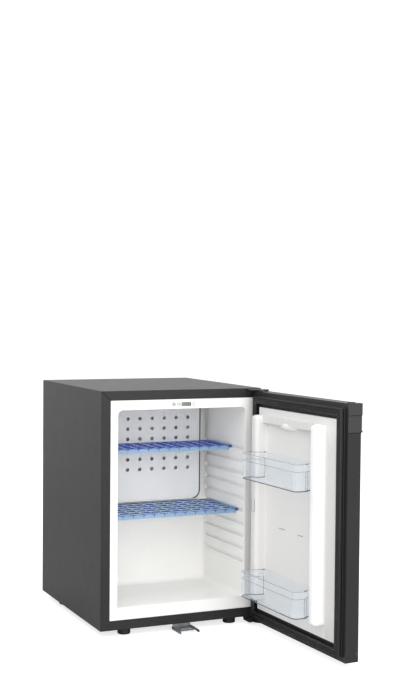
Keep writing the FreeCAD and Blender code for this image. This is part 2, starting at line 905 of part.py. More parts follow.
node("condenser_fins", group(condenser_fins))

vessel_z = shell_z + size("vessel_level")
VESSEL = SHELL + " + vessel_level"
vessel = rod(("-vessel_left", UNIT, VESSEL), "vessel_radius", "vessel_left + vessel_right", "x")
vessel_ends = rounded(vessel, size("vessel_round"), lambda edge: edge.BoundBox.XLength < size("overrun"))
node("absorber_vessel", vessel_ends)

boiler_tube = tube(
    [
        Vector(boiler_x - size("vessel_boiler_gap"), unit_y, vessel_z),
        Vector(boiler_x, unit_y, vessel_z),
        Vector(boiler_x, unit_y, condenser_z),
        Vector(condenser_x, unit_y, condenser_z),
    ],
    size("boiler_tube_radius"),
    size("boiler_bend"),
)
node("boiler_tube", boiler_tube)

coil_points = [
    Vector(-span, lead_y, cold_z),
    Vector(-span, unit_y, cold_z),
    Vector(-span, unit_y, coil_z),
    Vector(coil_x[0], unit_y, coil_z),
]
for index in range(1, int(size("coil_runs"))):
    z = coil_z - index * size("coil_pitch")
    ends = coil_x if index % 2 else coil_x[::-1]
    coil_points += [Vector(ends[0], unit_y, z), Vector(ends[1], unit_y, z)]
coil_points.append(Vector(coil_points[-1].x, unit_y, vessel_z))
absorber_coil = tube(coil_points, size("cool_tube_radius"), size("tube_bend"))
node("absorber_coil", minus(absorber_coil, vessel))

BOILER = SHELL + " + boiler_bottom"
jacket = rod(("boiler_offset", UNIT, BOILER), "boiler_radius", "boiler_height")
heater = rod(
    ("boiler_offset", UNIT + " + heater_offset", BOILER + " - heater_stub"), "heater_radius", "heater_length"
)
boiler_bore = rod(
    ("boiler_offset", UNIT, BOILER + " - overrun"), "boiler_tube_radius", "boiler_height + 2*overrun"
)
node("boiler_jacket", minus(jacket, boiler_bore, heater))
node("heater_cartridge", heater)
bracket = box(
    ("boiler_offset - bracket_width/2", BAY, BOILER + " + boiler_height/2 - bracket_height/2"),
    ("bracket_width", "unit_setback", "bracket_height"),
)
node("boiler_bracket", minus(bracket, jacket))
CRADLE = VESSEL + " - vessel_radius - cradle_gauge"
cradle = joined(
    box(
        ("sheet_gauge - cabinet_width/2", UNIT + " - cradle_half_depth", CRADLE),
        ("cabinet_width - 2*sheet_gauge", "2*cradle_half_depth", "cradle_gauge"),
    ),
    box(
        ("sheet_gauge - cabinet_width/2", UNIT + " - cradle_half_depth", CRADLE),
        ("cradle_gauge", "2*cradle_half_depth", "cradle_tab"),
    ),
    box(
        ("cabinet_width/2 - sheet_gauge - cradle_gauge", UNIT + " - cradle_half_depth", CRADLE),
        ("cradle_gauge", "2*cradle_half_depth", "cradle_tab"),
    ),
)
node("vessel_cradle", cradle)

# Controller box on the rear panel, with a mains inlet that faces the back
CONTROLLER_LEFT = "(cabinet_width/2 - sheet_gauge - controller_side_gap - controller_width)"
controller = minus(
    box(
        (CONTROLLER_LEFT, BAY, SHELL + " + controller_bottom"),
        ("controller_width", "controller_depth", "controller_height"),
    ),
    box(
        (
            CONTROLLER_LEFT + " + controller_wall",
            BAY + " - overrun",
            SHELL + " + controller_bottom + controller_wall",
        ),
        (
            "controller_width - 2*controller_wall",
            "controller_depth - controller_wall + overrun",
            "controller_height - 2*controller_wall",
        ),
    ),
)
node("controller_box", controller)
INLET_LEFT = "(%s + controller_width/2 - inlet_width/2)" % CONTROLLER_LEFT
INLET_BACK = "(%s + controller_depth)" % BAY
INLET_LOW = "(foot_height + controller_bottom + inlet_rise)"
inlet_shell = minus(
    box((INLET_LEFT, INLET_BACK, INLET_LOW), ("inlet_width", "inlet_depth", "inlet_height")),
    box(
        (INLET_LEFT + " + inlet_wall", INLET_BACK + " + inlet_wall", INLET_LOW + " + inlet_wall"),
        ("inlet_width - 2*inlet_wall", "inlet_depth", "inlet_height - 2*inlet_wall"),
    ),
)
blades = [
    box(
        (
            INLET_LEFT + " + %d*inlet_width/4 - inlet_blade/2" % quarter,
            INLET_BACK + " + inlet_wall",
            INLET_LOW + " + inlet_height/2 - inlet_blade",
        ),
        ("inlet_blade", "inlet_blade_length", "2*inlet_blade"),
    )
    for quarter in (1, 2, 3)
]
node("power_inlet", joined(inlet_shell, *blades))

# Control strip: fascia, display, lamp, two keys and their board
STRIP = "(foot_height + strip_level)"
fascia_block = strip_block("sheet_gauge", "liner_wall")


def key_place(side):
    """Where a key's axis stands."""
    return side + "_key_place"


def strip_rod(x, low, radius, length):
    """A rod through the control strip."""
    return rod((x, low, STRIP), radius, length, "y")


display = box(
    ("display_left", "sheet_gauge", STRIP + " - display_height/2"),
    ("display_width", "liner_wall", "display_height"),
)
lamp = strip_rod("lamp_place", "sheet_gauge", "lamp_radius", "liner_wall")
key_holes = [
    strip_rod(key_place(side), "sheet_gauge - overrun", "key_radius + key_clearance", "liner_wall + 2*overrun")
    for side in ("left", "right")
]
node("control_fascia", minus(fascia_block, display, lamp, *key_holes))
node("display_window", display)
node("lamp_lens", lamp)
for side in ("left", "right"):
    stem = strip_rod(
        key_place(side), "sheet_gauge - key_proud", "key_radius", "liner_wall + key_proud + key_clearance"
    )
    collar = strip_rod(
        key_place(side), "sheet_gauge + liner_wall + key_clearance", "key_radius + key_flange", "key_flange"
    )
    node(side + "_key", joined(stem, collar))
node("control_board", strip_block("sheet_gauge + liner_wall + board_setback", "board_gauge"))

# Hinge brackets, pins and screws
upper_plate = joined(
    box(
        (HINGE_LEFT, PIN_Y, HINGE_PLATE),
        ("hinge_width", "door_gap + pin_setback", "hinge_gauge"),
    ),
    rod((PIN_X, PIN_Y, HINGE_PLATE), "hinge_lobe", "hinge_gauge"),
    box(
        (HINGE_LEFT, "-hinge_tab_gauge", HINGE_PLATE + " + hinge_gauge - hinge_tab"),
        ("hinge_width", "hinge_tab_gauge", "hinge_tab"),
    ),
)
upper_holes = [
    rod(
        (x, "-hinge_tab_gauge - overrun", UPPER_SCREW_LEVEL),
        "screw_radius",
        "hinge_tab_gauge + 2*overrun",
        "y",
    )
    for x in UPPER_SCREWS
]
upper_pin_hole = rod((PIN_X, PIN_Y, HINGE_PLATE + " - overrun"), "pin_radius", "hinge_gauge + 2*overrun")
node("upper_hinge_bracket", minus(upper_plate, upper_pin_hole, *upper_holes))
PIN_IN_DOOR = "(bush_length + bush_flange - 2*bush_flange)"
upper_pin = joined(
    rod(
        (PIN_X, PIN_Y, HINGE_PLATE + " - running_gap - " + PIN_IN_DOOR),
        "pin_radius",
        PIN_IN_DOOR + " + running_gap + hinge_gauge",
    ),
    rod((PIN_X, PIN_Y, HINGE_PLATE + " + hinge_gauge"), "pin_head_radius", "pin_head"),
)
node("upper_hinge_pin", upper_pin)

lower_plate = joined(
    box(
        (HINGE_LEFT, PIN_Y, LOWER_PLATE + " - hinge_gauge"),
        ("hinge_width", "door_gap + pin_setback + 2*hinge_gauge", "hinge_gauge"),
    ),
    rod((PIN_X, PIN_Y, LOWER_PLATE + " - hinge_gauge"), "hinge_lobe", "hinge_gauge"),
    box(
        (HINGE_LEFT, "hinge_gauge", LOWER_PLATE + " - hinge_gauge"),
        ("hinge_width", "hinge_gauge", SHELL + " - %s + hinge_gauge" % LOWER_PLATE),
    ),
    box(
        (HINGE_LEFT, "hinge_gauge", SHELL + " - hinge_gauge"),
        ("hinge_width", "hinge_gauge + hinge_foot", "hinge_gauge"),
    ),
)
lower_holes = [
    rod((x, y, SHELL + " - hinge_gauge - overrun"), "screw_radius", "hinge_gauge + 2*overrun")
    for x, y in LOWER_SCREWS
]
lower_pin_hole = rod(
    (PIN_X, PIN_Y, LOWER_PLATE + " - hinge_gauge - overrun"), "pin_radius", "hinge_gauge + 2*overrun"
)
node("lower_hinge_bracket", minus(lower_plate, lower_pin_hole, *lower_holes))
lower_pin = joined(
    rod(
        (PIN_X, PIN_Y, LOWER_PLATE + " - hinge_gauge"),
        "pin_radius",
        PIN_IN_DOOR + " + running_gap + hinge_gauge",
    ),
    rod((PIN_X, PIN_Y, LOWER_PLATE + " - hinge_gauge - pin_head"), "pin_head_radius", "pin_head"),
)
node("lower_hinge_pin", lower_pin)
hinge_screws = [
    screw(x, "-hinge_tab_gauge", UPPER_SCREW_LEVEL, "hinge_tab_gauge + sheet_gauge", "y") for x in UPPER_SCREWS
]
hinge_screws += [
    screw(x, y, SHELL + " - hinge_gauge", "hinge_gauge + sheet_gauge", "z") for x, y in LOWER_SCREWS
]
node("hinge_screws", group(hinge_screws))

# Lock strike: a slotted tongue under the door, with two prongs
STRIKE_TOP = "(foot_height - strike_drop)"
strike_plate = joined(
    box(
        ("-strike_width/2", "-strike_reach", STRIKE_TOP + " - strike_gauge"),
        ("strike_width", "strike_reach + 2*strike_gauge", "strike_gauge"),
    ),
    box(
        ("-strike_width/2", "strike_gauge", STRIKE_TOP + " - strike_gauge"),
        ("strike_width", "strike_gauge", "strike_drop + strike_gauge"),
    ),
    box(
        ("-strike_width/2", "strike_gauge", SHELL + " - strike_gauge"),
        ("strike_width", "strike_foot - strike_gauge", "strike_gauge"),
    ),
    *[
        box(
            (left, "-strike_prong", STRIKE_TOP + " - strike_flange"),
            ("strike_gauge", "strike_prong + 2*strike_gauge", "strike_flange"),
        )
        for left in ("-strike_width/2 - strike_gauge", "strike_width/2")
    ],
)
strike_slot = box(
    ("-strike_slot_width/2", PIN_Y + " - strike_slot/2", STRIKE_TOP + " - strike_gauge - overrun"),
    ("strike_slot_width", "strike_slot", "strike_gauge + 2*overrun"),
)
strike_holes = [
    rod((x, y, SHELL + " - strike_gauge - overrun"), "screw_radius", "strike_gauge + 2*overrun")
    for x, y in STRIKE_SCREWS
]
node("lock_strike", minus(strike_plate, strike_slot, *strike_holes))
node(
    "strike_screws",
    group([
        screw(x, y, SHELL + " - strike_gauge", "strike_gauge + sheet_gauge", "z")
        for x, y in STRIKE_SCREWS
    ]),
)


# Shelves: a grid of bars with a front apron and rails that ride in the grooves
def shelf(name, depth, rows, notch):
    """One shelf in a groove counted from the top."""
    wide = "(cavity_width - 2*shelf_side_gap)"
    cell_wide = "((%s - shelf_bar)/shelf_columns)" % wide
    cell_deep = "((%s - shelf_bar)/%s)" % (depth, rows)
    body = doc.addObject("PartDesign::Body", name)
    outline = sketch(
        body,
        "XY_Plane",
        [
            ("-%s/2" % wide, "0"),
            ("%s/2" % wide, "0"),
            ("%s/2" % wide, depth),
            ("-%s/2" % wide, depth),
        ],
    )
    slab = body.newObject("PartDesign::Pad", "Slab")
    slab.Profile = outline
    slab.setExpression("Length", bind("shelf_bar_height"))
    doc.recompute()
    cell = sketch(
        body,
        "XY_Plane",
        [
            ("shelf_bar - %s/2" % wide, "shelf_bar"),
            ("%s - %s/2" % (cell_wide, wide), "shelf_bar"),
            ("%s - %s/2" % (cell_wide, wide), cell_deep),
            ("shelf_bar - %s/2" % wide, cell_deep),
        ],
    )
    doc.recompute()
    opening = body.newObject("PartDesign::Pocket", "Opening")
    opening.Profile = cell
    opening.Type = "ThroughAll"
    opening.Midplane = True
    doc.recompute()
    grid(body, opening, cell, ("shelf_columns", rows), (cell_wide, cell_deep))
    front = "(cavity_depth - shelf_back_gap - %s)" % depth
    low = "(cavity_top - groove_head - groove_height - %s*groove_pitch + running_gap)" % notch
    place(body, ("0", front, low))
    apron = box(
        ("-%s/2" % wide, front, low + " + shelf_bar_height - shelf_apron"),
        (wide, "shelf_bar", "shelf_apron"),
    )
    rail_wide = "(shelf_side_gap + groove_depth - 2*running_gap)"
    rails = [
        box((left, front, low), (rail_wide, depth, "shelf_bar_height"))
        for left in ("-%s/2 - %s" % (wide, rail_wide), "%s/2" % wide)
    ]
    node(name, joined(body, apron, *rails))


shelf("upper_shelf", "upper_shelf_depth", "upper_shelf_rows", "upper_shelf_notch")
shelf("lower_shelf", "lower_shelf_depth", "lower_shelf_rows", "lower_shelf_notch")

# Door, drawn shut with the hinge pin at zero
LOCK_LEVEL = "lock_rise"
CAM_HALF = "(cam_gauge/2 + cam_room)"


def bush_rod(radius, low, length):
    """A rod on the hinge axis."""
    return rod(("0", "0", low), radius, length)


skin_edge_span = size("door_thickness") / 2


def skin_edge(edge):
    """The four edges round the door's outer face."""
    return edge.BoundBox.YMax < size("pin_setback") - skin_edge_span


skin_block = rounded(door_block("0", DOOR_OUTER, DOOR_INNER), size("casing_round"), skin_edge)
skin_room = box(
    (DOOR_FREE + " + sheet_gauge", DOOR_OUTER + " + sheet_gauge", "sheet_gauge"),
    ("cabinet_width - 2*sheet_gauge", "door_thickness - 2*sheet_gauge", DOOR_TALL + " - 2*sheet_gauge"),
)
skin_mouth = door_block("edge_return", DOOR_INNER + " - sheet_gauge - overrun", DOOR_INNER + " + overrun")
PLUG_X = "(2*pin_inset - cabinet_width)"
plug_stem_hole = rod((PLUG_X, "0", DOOR_TALL + " - plug_stem"), "plug_stem_radius", "plug_stem + overrun")
lower_bush_hole = bush_rod("bush_radius", "-overrun", "bush_length + overrun")
upper_bush_hole = bush_rod("bush_radius", DOOR_TALL + " - bush_length", "bush_length + overrun")
lock_tube_hole = rod(
    (DOOR_MIDDLE, DOOR_OUTER + " - overrun", LOCK_LEVEL), "lock_tube_radius", "door_thickness/2", "y"
)
CAM_REACH = "(cam_length + cam_width/2)"
cam_slot = box(
    (DOOR_MIDDLE + " - cam_width/2 - 3*cam_room", "-" + CAM_HALF, "-overrun"),
    (CAM_REACH + " + 6*cam_room", "2*" + CAM_HALF, "overrun + sheet_gauge"),
)
door_node(
    "door_skin",
    minus(
        skin_block, skin_room, skin_mouth, plug_stem_hole,
        lower_bush_hole, upper_bush_hole, lock_tube_hole, cam_slot
    ),
)


def panel_block(grow):
    """The liner's raised panel, shrunk by a wall on every side but its base."""
    inset = "(panel_inset + %s)" % grow
    return door_block(inset, DOOR_INNER + " - liner_wall", PANEL + " - " + grow)


def rib_block(side, grow):
    """One of the two upright ribs, shrunk by a wall."""
    left = DOOR_FREE + " + free_rib_inset" if side == "free" else "pin_inset - hinge_rib_inset - rib_width"
    block = box(
        (left + " + " + grow, DOOR_INNER + " - liner_wall", "rib_bottom + " + grow),
        (
            "rib_width - 2*" + grow,
            "liner_wall + rib_height - " + grow,
            DOOR_TALL + " - rib_bottom - rib_top_gap - 2*" + grow,
        ),
    )
    base = size("pin_setback")
    radius = size("rib_round") - (size(grow) if grow in SIZES else 0)
    return rounded(block, radius, lambda edge: edge.BoundBox.YMax > base)


def cross_bar(grow):
    """The bar that joins the ribs at the top."""
    return box(
        (
            DOOR_FREE + " + free_rib_inset + rib_width/2",
            DOOR_INNER + " - liner_wall",
            DOOR_TALL + " - rib_top_gap - bar_height + " + grow,
        ),
        (
            "recess_width + rib_width",
            "liner_wall + bar_depth - " + grow,
            "bar_height - 2*" + grow,
        ),
    )


BIN_BOTTOMS = {"upper_bin": "upper_bin_bottom", "lower_bin": "lower_bin_bottom"}
RECESS_MIDDLE = "(%s + free_rib_inset/2 - hinge_rib_inset/2)" % DOOR_MIDDLE
liner_sheet = door_block("edge_return", DOOR_INNER + " - liner_wall", DOOR_INNER)
hooks = []
for bottom in BIN_BOTTOMS.values():
    for left in (
        RECESS_MIDDLE + " - recess_width/2 - liner_wall",
        RECESS_MIDDLE + " + recess_width/2 - hook_length",
    ):
        at = (left, DOOR_INNER + " + hook_setback", bottom + " + hook_rise")
        hooks.append(rod(at, "hook_radius", "hook_length + liner_wall", "x"))
cores = joined(
    panel_block("liner_wall"),
    rib_block("free", "liner_wall"),
    rib_block("hinge", "liner_wall"),
    cross_bar("liner_wall")
)
shaped = joined(
    liner_sheet, panel_block("0"), rib_block("free", "0"), rib_block("hinge", "0"), cross_bar("0"), *hooks
)
door_node("door_liner", minus(shaped, cores))

# Lock: a housing in the door's lower edge, a barrel with a keyway and a cam that drops into the strike
housing = joined(
    box(
        (DOOR_MIDDLE + " - cam_width/2 - 3*cam_room - lock_wall", "-lock_body", "sheet_gauge"),
        (CAM_REACH + " + 6*cam_room + 2*lock_wall", "2*lock_body", "lock_body_height"),
    ),
    rod((DOOR_MIDDLE, DOOR_OUTER, LOCK_LEVEL), "lock_tube_radius", "door_thickness - pin_setback", "y"),
    rod((DOOR_MIDDLE, DOOR_OUTER + " - rosette", LOCK_LEVEL), "rosette_radius", "rosette", "y"),
)
cam_room = box(
    (DOOR_MIDDLE + " - cam_width/2 - 3*cam_room", "-" + CAM_HALF, "-overrun"),
    (CAM_REACH + " + 6*cam_room", "2*" + CAM_HALF, "lock_body_height + overrun + sheet_gauge - lock_wall"),
)
barrel_bore = rod(
    (DOOR_MIDDLE, DOOR_OUTER + " - rosette - overrun", LOCK_LEVEL),
    "barrel_radius + pin_clearance",
    "door_thickness - pin_setback + rosette + overrun",
    "y",
)
door_node("lock_housing", minus(housing, cam_room, barrel_bore))
barrel = minus(
    rod(
        (DOOR_MIDDLE, DOOR_OUTER + " - rosette", LOCK_LEVEL),
        "barrel_radius",
        "door_thickness - pin_setback + rosette - cam_gauge/2",
        "y",
    ),
    box(
        (
            DOOR_MIDDLE + " - keyway_width/2",
            DOOR_OUTER + " - rosette - overrun",
            LOCK_LEVEL + " - keyway_height/2",
        ),
        ("keyway_width", "keyway_depth + overrun", "keyway_height"),
    ),
)
door_node("lock_barrel", barrel)
cam_bar = box(
    (DOOR_MIDDLE + " - cam_width/2", "-cam_gauge/2", LOCK_LEVEL + " - cam_width/2"),
    ("cam_length + cam_width/2", "cam_gauge", "cam_width"),
)
door_node("lock_cam", group([cam_bar]))

door_foam_block = box(
    (DOOR_FREE + " + sheet_gauge", DOOR_OUTER + " + sheet_gauge", "sheet_gauge"),
    (
        "cabinet_width - 2*sheet_gauge",
        "door_thickness - 2*sheet_gauge",
        DOOR_TALL + " - 2*sheet_gauge",
    ),
)
housing_room = joined(housing, cam_room)
door_node(
    "door_foam",
    minus(
        joined(minus(door_foam_block, liner_sheet), cores),
        plug_stem_hole, lower_bush_hole, upper_bush_hole, housing_room,
    ),
)

# Bushes in the door's ends, the cap on its free top corner and the plug in the unused hinge hole
pin_bore = bush_rod(
    "pin_radius + pin_clearance",
    "-bush_flange - overrun",
    DOOR_TALL + " + 2*bush_flange + 2*overrun",
)
lower_bush = joined(
    bush_rod("bush_radius", "0", "bush_length"), bush_rod("bush_flange_radius", "-bush_flange", "bush_flange")
)
upper_bush = joined(
    bush_rod("bush_radius", DOOR_TALL + " - bush_length", "bush_length"),
    bush_rod("bush_flange_radius", DOOR_TALL, "bush_flange"),
)
door_node("lower_door_bush", minus(lower_bush, pin_bore))
door_node("upper_door_bush", minus(upper_bush, pin_bore))
hole_plug = joined(
    rod((PLUG_X, "0", DOOR_TALL), "plug_head_radius", "plug_head"),
    rod((PLUG_X, "0", DOOR_TALL + " - plug_stem"), "plug_stem_radius", "plug_stem"),
)
door_node("hinge_hole_plug", hole_plug)
CAP_LOW = "(%s - cap_height)" % DOOR_TALL
cap = joined(
    box(
        (DOOR_FREE + " - cap_proud", DOOR_OUTER + " - cap_proud", CAP_LOW),
        ("cap_proud", "door_thickness + cap_proud", "cap_height"),
    ),
    box(
        (DOOR_FREE + " - cap_proud", DOOR_OUTER + " - cap_proud", CAP_LOW),
        ("cap_return + cap_proud", "cap_proud", "cap_height"),
    ),
    box(
        (DOOR_FREE + " - cap_block_proud", DOOR_OUTER + " - cap_block_proud", DOOR_TALL + " - cap_block"),
        ("cap_block_proud", "door_thickness + cap_block_proud", "cap_block"),
    ),
    box(
        (DOOR_FREE + " - cap_block_proud", DOOR_OUTER + " - cap_block_proud", DOOR_TALL + " - cap_block"),
        ("cap_return + cap_block_proud", "cap_block_proud", "cap_block"),
    ),
    box(
        (DOOR_FREE + " - cap_proud", DOOR_OUTER + " - cap_lip", CAP_LOW),
        ("cap_return + cap_proud", "cap_lip", "cap_lip_height"),
    ),
)
door_node("door_corner_cap", minus(cap, door_block("0", DOOR_OUTER, DOOR_INNER)))

# Gasket: a lip on the door, a folding neck and a head that holds the magnet strip
GASKET_NECK = "(pin_setback + gasket_lip)"
GASKET_HEAD = "(pin_setback + gasket_lip + gasket_neck_height)"
GASKET_FACE = "(pin_setback + door_gap - gasket_squeeze)"
lip = ring("gasket_inset", "panel_inset", DOOR_INNER, GASKET_NECK)
neck = ring("gasket_neck_inset", "gasket_neck_inset + gasket_neck", GASKET_NECK, GASKET_HEAD)
head = ring("gasket_head_inset", "gasket_head_inset + gasket_head", GASKET_HEAD, GASKET_FACE)
MAGNET_INSET = "(gasket_head_inset + gasket_head/2 - magnet_width/2)"
MAGNET_LOW = "((%s + %s)/2 - magnet_gauge/2)" % (GASKET_HEAD, GASKET_FACE)
magnets = ring(MAGNET_INSET, MAGNET_INSET + " + magnet_width", MAGNET_LOW, MAGNET_LOW + " + magnet_gauge")
door_node("door_gasket", minus(joined(lip, neck, head), magnets))
door_node("gasket_magnets", group([magnets]))


# Bins that hang on the liner's hooks
def bin_block(width, low, high, bottom, height, shrink):
    """A block of a bin across the door's middle."""
    return box(
        ("%s - %s/2 + %s" % (RECESS_MIDDLE, width, shrink), low, bottom),
        ("%s - 2*%s" % (width, shrink), "(%s) - (%s)" % (high, low), height),
    )


def bin_front_edge(edge):
    """The upright edges at a bin's front corners."""
    nearest = size("pin_setback") + size("rib_height") + size("bin_round")
    return direction(edge) == "z" and edge.BoundBox.YMin > nearest


BIN_BACK = "(%s + bin_clearance)" % PANEL
BIN_STEP = "(pin_setback + rib_height + bin_clearance)"
BIN_FRONT = "(pin_setback + bin_reach)"
for label, bottom in BIN_BOTTOMS.items():
    front_block = rounded(
        bin_block("bin_front_width", BIN_STEP, BIN_FRONT, bottom, "bin_height", "0"),
        size("bin_round"),
        bin_front_edge,
    )
    back_block = bin_block("bin_back_width", BIN_BACK, BIN_STEP, bottom, "bin_height", "0")
    band_wide = "(bin_front_width + 2*bin_band_proud)"
    band = rounded(
        bin_block(
            band_wide,
            BIN_STEP,
            BIN_FRONT + " + bin_band_proud",
            bottom + " + bin_height - bin_band",
            "bin_band",
            "0",
        ),
        size("bin_round") + size("bin_band_proud"),
        bin_front_edge,
    )
    floor = bottom + " + bin_wall"
    front_room = rounded(
        bin_block(
            "bin_front_width",
            BIN_STEP + " + bin_wall",
            BIN_FRONT + " - bin_wall",
            floor,
            "bin_height",
            "bin_wall",
        ),
        size("bin_round") - size("bin_wall"),
        bin_front_edge,
    )
    back_room = bin_block(
        "bin_back_width", BIN_BACK + " + bin_wall", BIN_STEP + " + 2*bin_wall", floor, "bin_height", "bin_wall"
    )
    tray = minus(joined(front_block, back_block, band), front_room, back_room)
    ears = [
        box(
            (
                left,
                DOOR_INNER + " + hook_setback - ear_width/2",
                bottom + " + hook_rise + hook_radius + running_gap",
            ),
            ("hook_length", "ear_width", "ear_height"),
        )
        for left in (
            "%s - bin_back_width/2 - hook_length" % RECESS_MIDDLE,
            "%s + bin_back_width/2" % RECESS_MIDDLE,
        )
    ]
    door_node(label, joined(tray, *ears))

# Check every object, then write each piece
doc.recompute()
for thing in doc.Objects:
    if "Invalid" in thing.State or "Error" in thing.State:
        raise RuntimeError("%s failed: %s" % (thing.Label, thing.State))
os.makedirs("parts", exist_ok=True)
for label, thing in nodes.items():
    if thing.Shape.isNull() or not thing.Shape.isValid():
        raise RuntimeError("%s has no valid shape" % label)
for label, thing in nodes.items():
    thing.Shape.exportStep("parts/%s.step" % label)
    box_size = thing.Shape.BoundBox
    print(label, len(thing.Shape.Solids), "solids", round(thing.Shape.Volume), "mm3",
          [round(value, 1) for value in (box_size.XMin, box_size.YMin, box_size.ZMin,
                                         box_size.XMax, box_size.YMax, box_size.ZMax)])
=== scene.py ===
import math
import bpy
import bmesh
from mathutils import Matrix, Vector


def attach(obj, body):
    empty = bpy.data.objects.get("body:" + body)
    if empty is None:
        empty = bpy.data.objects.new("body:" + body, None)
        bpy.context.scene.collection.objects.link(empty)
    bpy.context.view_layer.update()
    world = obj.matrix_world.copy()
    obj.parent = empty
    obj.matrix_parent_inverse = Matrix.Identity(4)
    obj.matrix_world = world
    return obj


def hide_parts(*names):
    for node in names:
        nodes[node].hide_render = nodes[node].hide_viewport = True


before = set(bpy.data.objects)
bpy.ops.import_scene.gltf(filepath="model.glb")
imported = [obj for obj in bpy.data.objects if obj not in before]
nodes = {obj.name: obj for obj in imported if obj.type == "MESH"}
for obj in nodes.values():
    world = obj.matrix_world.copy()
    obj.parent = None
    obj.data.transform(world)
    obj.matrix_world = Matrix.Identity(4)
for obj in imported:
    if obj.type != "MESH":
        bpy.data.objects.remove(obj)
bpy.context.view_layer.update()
print("stage: frame loaded with", len(nodes), "nodes")

# Pieces are modelled in millimetres, upright, then placed by one of these
doorAngle = math.radians(92)
doorPin = Vector((190.0, -26.5, 12.0)) / 1000
cabinetFrame = Matrix.Scale(0.001, 4)
# the door is drawn shut with its hinge pin at zero, then swung open
doorFrame = Matrix.Translation(doorPin) @ Matrix.Rotation(doorAngle, 4, "Z") @ Matrix.Scale(0.001, 4)

# Door sizes that several pieces share, as the CAD model has them
door = {"free": -391.0, "hinge": 11.0, "tall": 543.0, "inner": 14.5, "recess": -176.5}

# Colours and materials


def colour(hexText):
    # an sRGB hex colour as linear light
    channels = []
    for start in (1, 3, 5):
        value = int(hexText[start:start + 2], 16) / 255
        channels.append(value / 12.92 if value <= 0.04045 else ((value + 0.055) / 1.055) ** 2.4)
    return (*channels, 1.0)


def addNode(tree, kind, settings=None, links=None):
    # one node, with values for its sockets or settings and links into it
    node = tree.nodes.new(kind)
    for key, value in (settings or {}).items():
        if isinstance(key, int) or key in node.inputs:
            node.inputs[key].default_value = value
        else:
            setattr(node, key, value)
    for key, source in (links or {}).items():
        tree.links.new(source, node.inputs[key])
    return node


def perMetre(millimetres):
    # texture scale for a feature of that size
    return 1000.0 / millimetres


